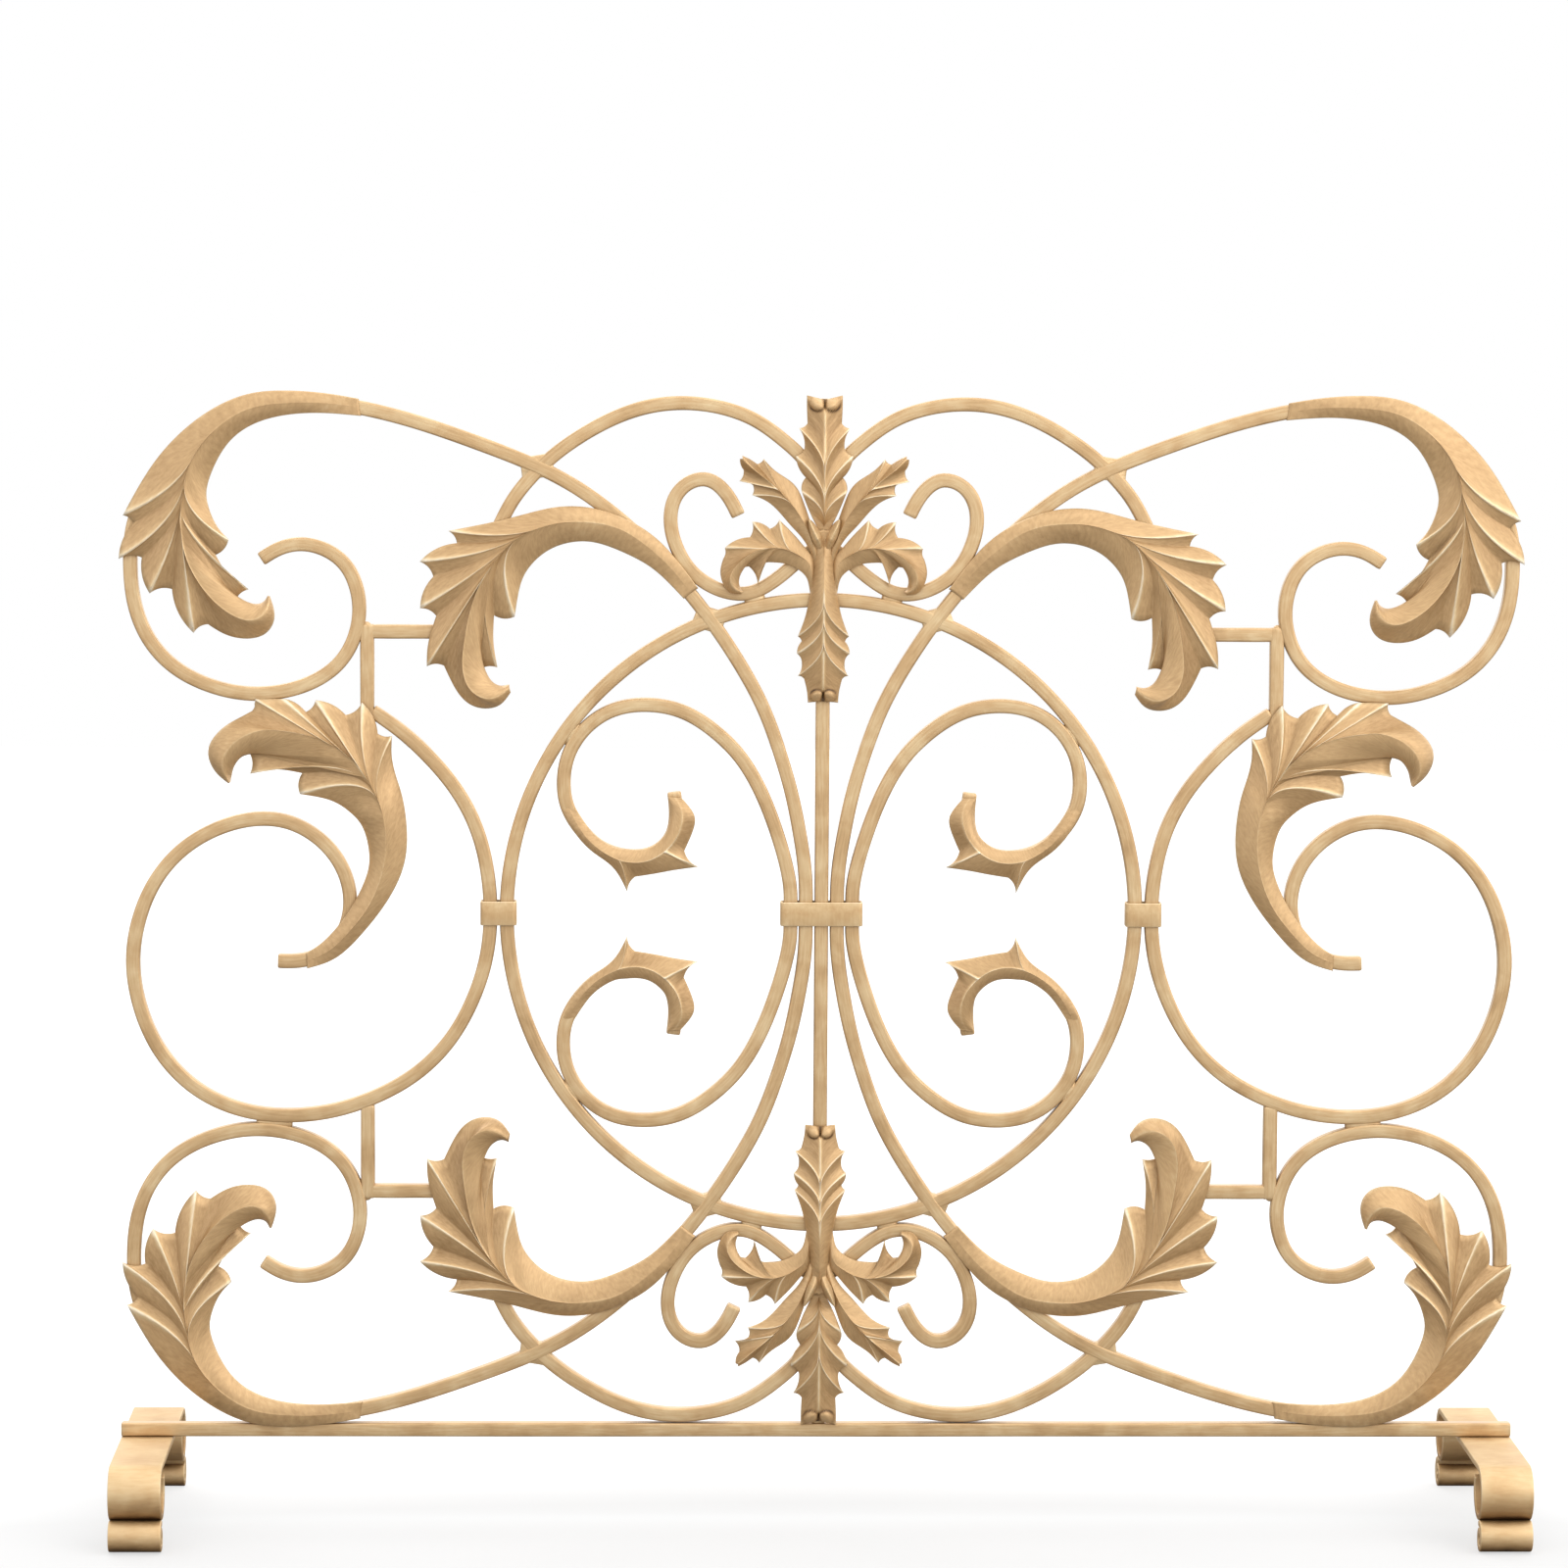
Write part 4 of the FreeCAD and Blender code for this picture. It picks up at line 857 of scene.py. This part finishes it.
# Feet: one flat strip with a loop at each end, on rolled toes.
stand = {
    "strip": 4.5,                # thickness
    "edge": 0.9,                 # radius of its edges
    "loop": 19.5,                # outer radius of a loop
    "loopTurn": 298,             # degrees that a loop runs round
    "roll": 11.0,                # outer radius of a toe
    "rollTurns": (215, 180, 180), # degrees of its arcs, each tighter than the last
    "gap": 0.2,                  # between the turns of a toe
    "tone": 0.49,
    "worn": 0.14,                # paler along the edges
    "settled": 0.34}             # painted shade low on the loops
footX = (bandLow[0] + bandHigh[0]) / 2
footHalf = (bandHigh[0] - bandLow[0]) / 2
halfStrip = stand["strip"] / 2
loopY = -bandLow[1] - stand["loop"]
loopZ = bandHigh[2] - stand["loop"]
toeY = -rollLow[1] - stand["roll"]
toeZ = stand["roll"] - stand["gap"]


def arcs(y, z, radius, first, turns, step):
    # Centreline of a strip curled in arcs: (y, z) + radius (cos a, sin a), in Y and Z. After each arc the
    # centre moves by step towards the arc's end, and the radius is smaller by step.
    spots, start = [], first
    for turn in turns:
        a = np.radians(np.linspace(start, start + turn, max(8, int(radius * abs(turn) / 60))))
        arc = np.stack([y + radius * np.cos(a), z + radius * np.sin(a)], 1)
        spots.append(arc[1:] if spots else arc)
        start += turn
        y += step * math.cos(math.radians(start))
        z += step * math.sin(math.radians(start))
        radius -= step
    return np.concatenate(spots)


def stripPart(line):
    # Flat section with eased edges carried along a path in the Y-Z plane; up is the path's direction turned a
    # quarter. settled: painted shade, darker with the share of a loop's radius below its middle, on the loops
    # only.
    path = np.stack([np.full(len(line), footX), line[:, 0], line[:, 1]], 1)
    run = np.gradient(path, axis=0)
    run /= np.linalg.norm(run, axis=1)[:, None]
    up = np.stack([0 * run[:, 0], -run[:, 2], run[:, 1]], 1)
    side = np.tile([1.0, 0.0, 0.0], (len(path), 1))
    outline, worn = roundedBox(footHalf, halfStrip, stand["edge"], 4)
    verts, faces, lay = sweep(path, side, up, outline, cap=0.6)
    verts[:, 2] = np.maximum(verts[:, 2], 0)          # the flat it stands on
    onLoop = verts[:, 2] > 2 * stand["roll"]
    # darker low on the loops: painted shade
    settled = stand["settled"] * np.clip((loopZ - verts[:, 2]) / stand["loop"], 0, 1) * onLoop
    rubAndHighlight = stand["worn"] * np.tile(worn, len(lay) // len(worn)) ** 2
    return verts, faces, stand["tone"] + rubAndHighlight - settled, lay


loop = arcs(-loopY, loopZ, stand["loop"] - halfStrip, 90, (stand["loopTurn"],), 0.0)
flatRun = np.stack([np.linspace(-loopY, loopY, 40), np.full(40, bandHigh[2] - halfStrip)], 1)[1:-1]
toe = arcs(-toeY, toeZ, stand["roll"] - halfStrip, 60, stand["rollTurns"], halfStrip + stand["gap"])
bandPart = stripPart(np.concatenate([loop[::-1], flatRun, loop * [-1, 1]]))
toePart = joined([stripPart(toe), stripPart((toe * [-1, 1])[::-1])])
for mirror, tag in sides:
    makePiece("foot_strip_" + tag, bandPart, standGold, ["foot_band_" + tag], mirror)
    makePiece("foot_toes_" + tag, toePart, standGold, ["foot_rolls_" + tag], mirror)
print("feet ready")


# Welds: lumps between neighbouring bars, and metal run into the corners where bars cross.
# around: points round a lump. ripple: how uneven it is, as a share of its size.
weldSettings = {"tone": 0.5, "around": 40, "rings": 16, "ripple": 0.03}
webSettings = {
    "around": 64,                # points round the star
    "power": 0.9,                # under 1 its sides are hollow
    "depth": 4.5,                # to the front and to the back
    # its eased edge: share of the star's size, and how far that outline lies inside the depth
    "rings": [(0.90, 0.0), (0.98, 0.5), (1.0, 1.6)]}


def weldPart(x, z, size, power, angle):
    # closed lump |a/A|^p + |b/B|^p + |y/D|^p = 1 turned by an angle in the X-Z plane, with a slow ripple
    cols, rows = weldSettings["around"], weldSettings["rings"]
    u = np.linspace(0, 2 * math.pi, cols, endpoint=False)
    v = np.linspace(0.05, math.pi - 0.05, rows)
    uu, vv = np.meshgrid(u, v)
    axes = [np.sin(vv) * np.cos(uu), np.sin(vv) * np.sin(uu), np.cos(vv)]
    a, b, y = [size[k] * np.sign(q) * np.abs(q) ** (2 / power) for k, q in enumerate(axes)]
    ripple = 1 + weldSettings["ripple"] * np.sin(3 * uu + x) * np.sin(vv)
    c, s = math.cos(math.radians(angle)), math.sin(math.radians(angle))
    verts = np.stack([x + (a * c - b * s) * ripple, y, middle + z + (a * s + b * c) * ripple], -1)
    verts = verts.reshape(-1, 3)
    faces = gridFaces(rows, cols).tolist() + capFaces(rows, cols)
    return verts, faces, np.full(len(verts), weldSettings["tone"]), verts[:, [0, 2]]


def webPart(x, z, one, two, arms):
    # a star |a|^p + |b|^p = 1 on the two bars' directions, one and two degrees, with arms in millimetres
    power, depth, cols, edge = [webSettings[key] for key in ("power", "depth", "around", "rings")]
    t = np.linspace(0, 2 * math.pi, cols, endpoint=False)
    a = arms[0] * np.sign(np.cos(t)) * np.abs(np.cos(t)) ** (2 / power)
    b = arms[1] * np.sign(np.sin(t)) * np.abs(np.sin(t)) ** (2 / power)
    d1, d2 = [np.array([math.cos(math.radians(q)), math.sin(math.radians(q))]) for q in (one, two)]
    flat = a[:, None] * d1 + b[:, None] * d2
    rings = [(k, inside - depth) for k, inside in edge] + [(k, depth - inside) for k, inside in edge[::-1]]
    verts = np.concatenate([np.stack([x + flat[:, 0] * k, np.full(cols, y), middle + z + flat[:, 1] * k], 1)
                            for k, y in rings])
    faces = gridFaces(len(rings), cols).tolist() + capFaces(len(rings), cols)
    return verts, faces, np.full(len(verts), weldSettings["tone"]), verts[:, [0, 2]]


# place from the middle, half sizes along, across and deep, power (2.4 is a bead, 4 a block), turn in degrees
weldSpots = [
    (-48.5, 222.5, (7.5, 6.5, 4.2), 2.8, 8), (-48.5, -222.5, (7.5, 6.5, 4.2), 2.8, -8),
    (-176, 127, (9.5, 4.0, 4.6), 3.0, 54), (-176, -127, (9.5, 4.0, 4.6), 3.0, -54),
    (-390, 146, (9.0, 5.0, 4.2), 3.0, 0), (-386, -150, (13.0, 4.6, 4.2), 3.0, 0),
    (-321.5, 201.5, (4.4, 4.0, 3.9), 2.4, 0), (-321.5, -201.5, (4.4, 4.0, 3.9), 2.4, 0)]
# place of a crossing, the directions of its two bars and the lengths of the star's arms along them
crossings = [(-201, 314.5, -26, 44, (15, 15)), (-80, 208, -54, 20, (14, 15))]
welds = [weldPart(x * spread, z * spread, size, power, angle) for x, z, size, power, angle in weldSpots]
for up in (1, -1):
    for x, z, one, two, arms in crossings:
        welds.append(webPart(x * spread, up * z * spread, up * one, up * two, arms))
weldLumps = joined(welds)
for mirror, tag in sides:
    makePiece("welds_" + tag, weldLumps, weldGold, ["weld_beads_" + tag], mirror)
print("welds ready")


# Camera: place in metres; radians below level, to the right and of roll; lens and sensor in millimetres.
shot = {"place": (-0.1325, -4.0, 0.9179), "down": 0.0976, "aside": 0.0264, "roll": 0.0058,
        "lens": 130.95, "sensor": 36}
camera = bpy.data.objects.new("camera", bpy.data.cameras.new("camera"))
camera.data.sensor_width = shot["sensor"]
camera.data.lens = shot["lens"]
heading = (Matrix.Rotation(-shot["aside"], 3, "Z") @ Matrix.Rotation(math.pi / 2 - shot["down"], 3, "X")
           @ Matrix.Rotation(shot["roll"], 3, "Z"))
camera.location = shot["place"]
camera.rotation_euler = heading.to_euler()
bpy.context.scene.collection.objects.link(camera)
bpy.context.scene.camera = camera


def lamp(name, place, aim, size, power, colour):
    # a rectangular soft box at place whose face looks at aim
    data = bpy.data.lights.new(name, "AREA")
    data.shape = "RECTANGLE"
    data.size, data.size_y = size
    data.energy = power
    data.color = linear(colour)[:3]
    light = bpy.data.objects.new(name, data)
    light.location = place
    light.rotation_euler = (Vector(aim) - Vector(place)).to_track_quat("-Z", "Y").to_euler()
    bpy.context.scene.collection.objects.link(light)


# place and aim in metres, size in metres, watts, colour
lamps = {
    "key": ((2.6, -2.6, 1.9), (0, 0, 0.42), (2.6, 2.2), 42, "#FFFBF4"),
    "fill": ((-2.8, -2.4, 1.0), (0, 0, 0.42), (1.6, 1.6), 14, "#F4F7FF"),
    "top": ((0.4, -0.6, 3.0), (0, 0, 0.3), (2.2, 1.2), 10, "#FFFFFF"),
    "rear": ((-1.4, 2.4, 3.2), (0, 0, 0.42), (1.6, 1.6), 26, "#FFFDF8")}
for name, (place, aim, size, watts, colour) in lamps.items():
    lamp(name, place, aim, size, watts, colour)

# White room: it lights with sky * (1 + side * x + above * z) of the direction, and is plain white to the eye.
room = {"sky": 1.38, "side": 0.34, "above": 0.22}
world = bpy.data.worlds.new("studio")
bpy.context.scene.world = world
world.use_nodes = True
air = world.node_tree
air.nodes.clear()
ray = addNode(air, "ShaderNodeLightPath")
way = addNode(air, "ShaderNodeTexCoord")
split = addNode(air, "ShaderNodeSeparateXYZ", links={0: way.outputs["Generated"]})
slope = addNode(air, "ShaderNodeMath", {"operation": "MULTIPLY_ADD", 1: room["side"], 2: 1.0},
                {0: split.outputs["X"]})
lift = addNode(air, "ShaderNodeMath", {"operation": "MULTIPLY_ADD", 1: room["above"]},
               {0: split.outputs["Z"], 2: slope.outputs[0]})
bright = addNode(air, "ShaderNodeMath", {"operation": "MULTIPLY", 1: room["sky"]}, {0: lift.outputs[0]})
lit = addNode(air, "ShaderNodeBackground", {"Color": (1, 1, 1, 1)}, {"Strength": bright.outputs[0]})
seen = addNode(air, "ShaderNodeBackground", {"Color": (1, 1, 1, 1), "Strength": 1.0})
pick = addNode(air, "ShaderNodeMixShader",
               links={0: ray.outputs["Is Camera Ray"], 1: lit.outputs[0], 2: seen.outputs[0]})
addNode(air, "ShaderNodeOutputWorld", links={"Surface": pick.outputs[0]})

# Matt white sweep paper, lit almost to clear white. It has a faint painted shade just before the screen:
# the glow grows over the distance |(x, y) * stretch + shift| between near and far.
paperSettings = {
    "corners": [(-5, -4), (5, -4), (5, 6), (-5, 6)],
    "under": 0.0006,             # metres below the feet
    "grey": 0.22,
    "glow": (0.60, 0.90),
    "near": 0.30,
    "far": 0.52,
    "stretch": (0.35, 1, 0),
    "shift": (0, 0.25, 0)}
floorMesh = bpy.data.meshes.new("floor")
corners = [(x, y, -paperSettings["under"]) for x, y in paperSettings["corners"]]
floorMesh.from_pydata(corners, [], [(0, 1, 2, 3)])
floor = bpy.data.objects.new("floor", floorMesh)
bpy.context.scene.collection.objects.link(floor)
paper = bpy.data.materials.new("white_sweep_paper")
paper.use_nodes = True
tree = paper.node_tree
tree.nodes.clear()
grey, (dim, full) = paperSettings["grey"], paperSettings["glow"]
matt = addNode(tree, "ShaderNodeBsdfDiffuse", {"Color": (grey, grey, grey, 1)})
onFloor = addNode(tree, "ShaderNodeTexCoord").outputs["Object"]
stretch, shift, near, far = [paperSettings[key] for key in ("stretch", "shift", "near", "far")]
spot = addNode(tree, "ShaderNodeVectorMath",
               {"operation": "MULTIPLY_ADD", 1: stretch, 2: shift}, {0: onFloor})
apart = addNode(tree, "ShaderNodeVectorMath", {"operation": "LENGTH"}, {0: spot.outputs["Vector"]})
fade = addNode(tree, "ShaderNodeMapRange", {"From Min": near, "From Max": far, "To Min": dim, "To Max": full},
               {"Value": apart.outputs["Value"]})
glow = addNode(tree, "ShaderNodeEmission", {"Color": (1, 1, 1, 1)}, {"Strength": fade.outputs[0]})
both = addNode(tree, "ShaderNodeAddShader", links={0: matt.outputs[0], 1: glow.outputs[0]})
look = addNode(tree, "ShaderNodeLightPath")
paperSeen = addNode(tree, "ShaderNodeMixShader",
                    links={0: look.outputs["Is Camera Ray"], 1: matt.outputs[0], 2: both.outputs[0]})
addNode(tree, "ShaderNodeOutputMaterial", links={"Surface": paperSeen.outputs[0]})
floorMesh.materials.append(paper)
bpy.context.scene.view_settings.view_transform = "Standard"
print("studio ready")
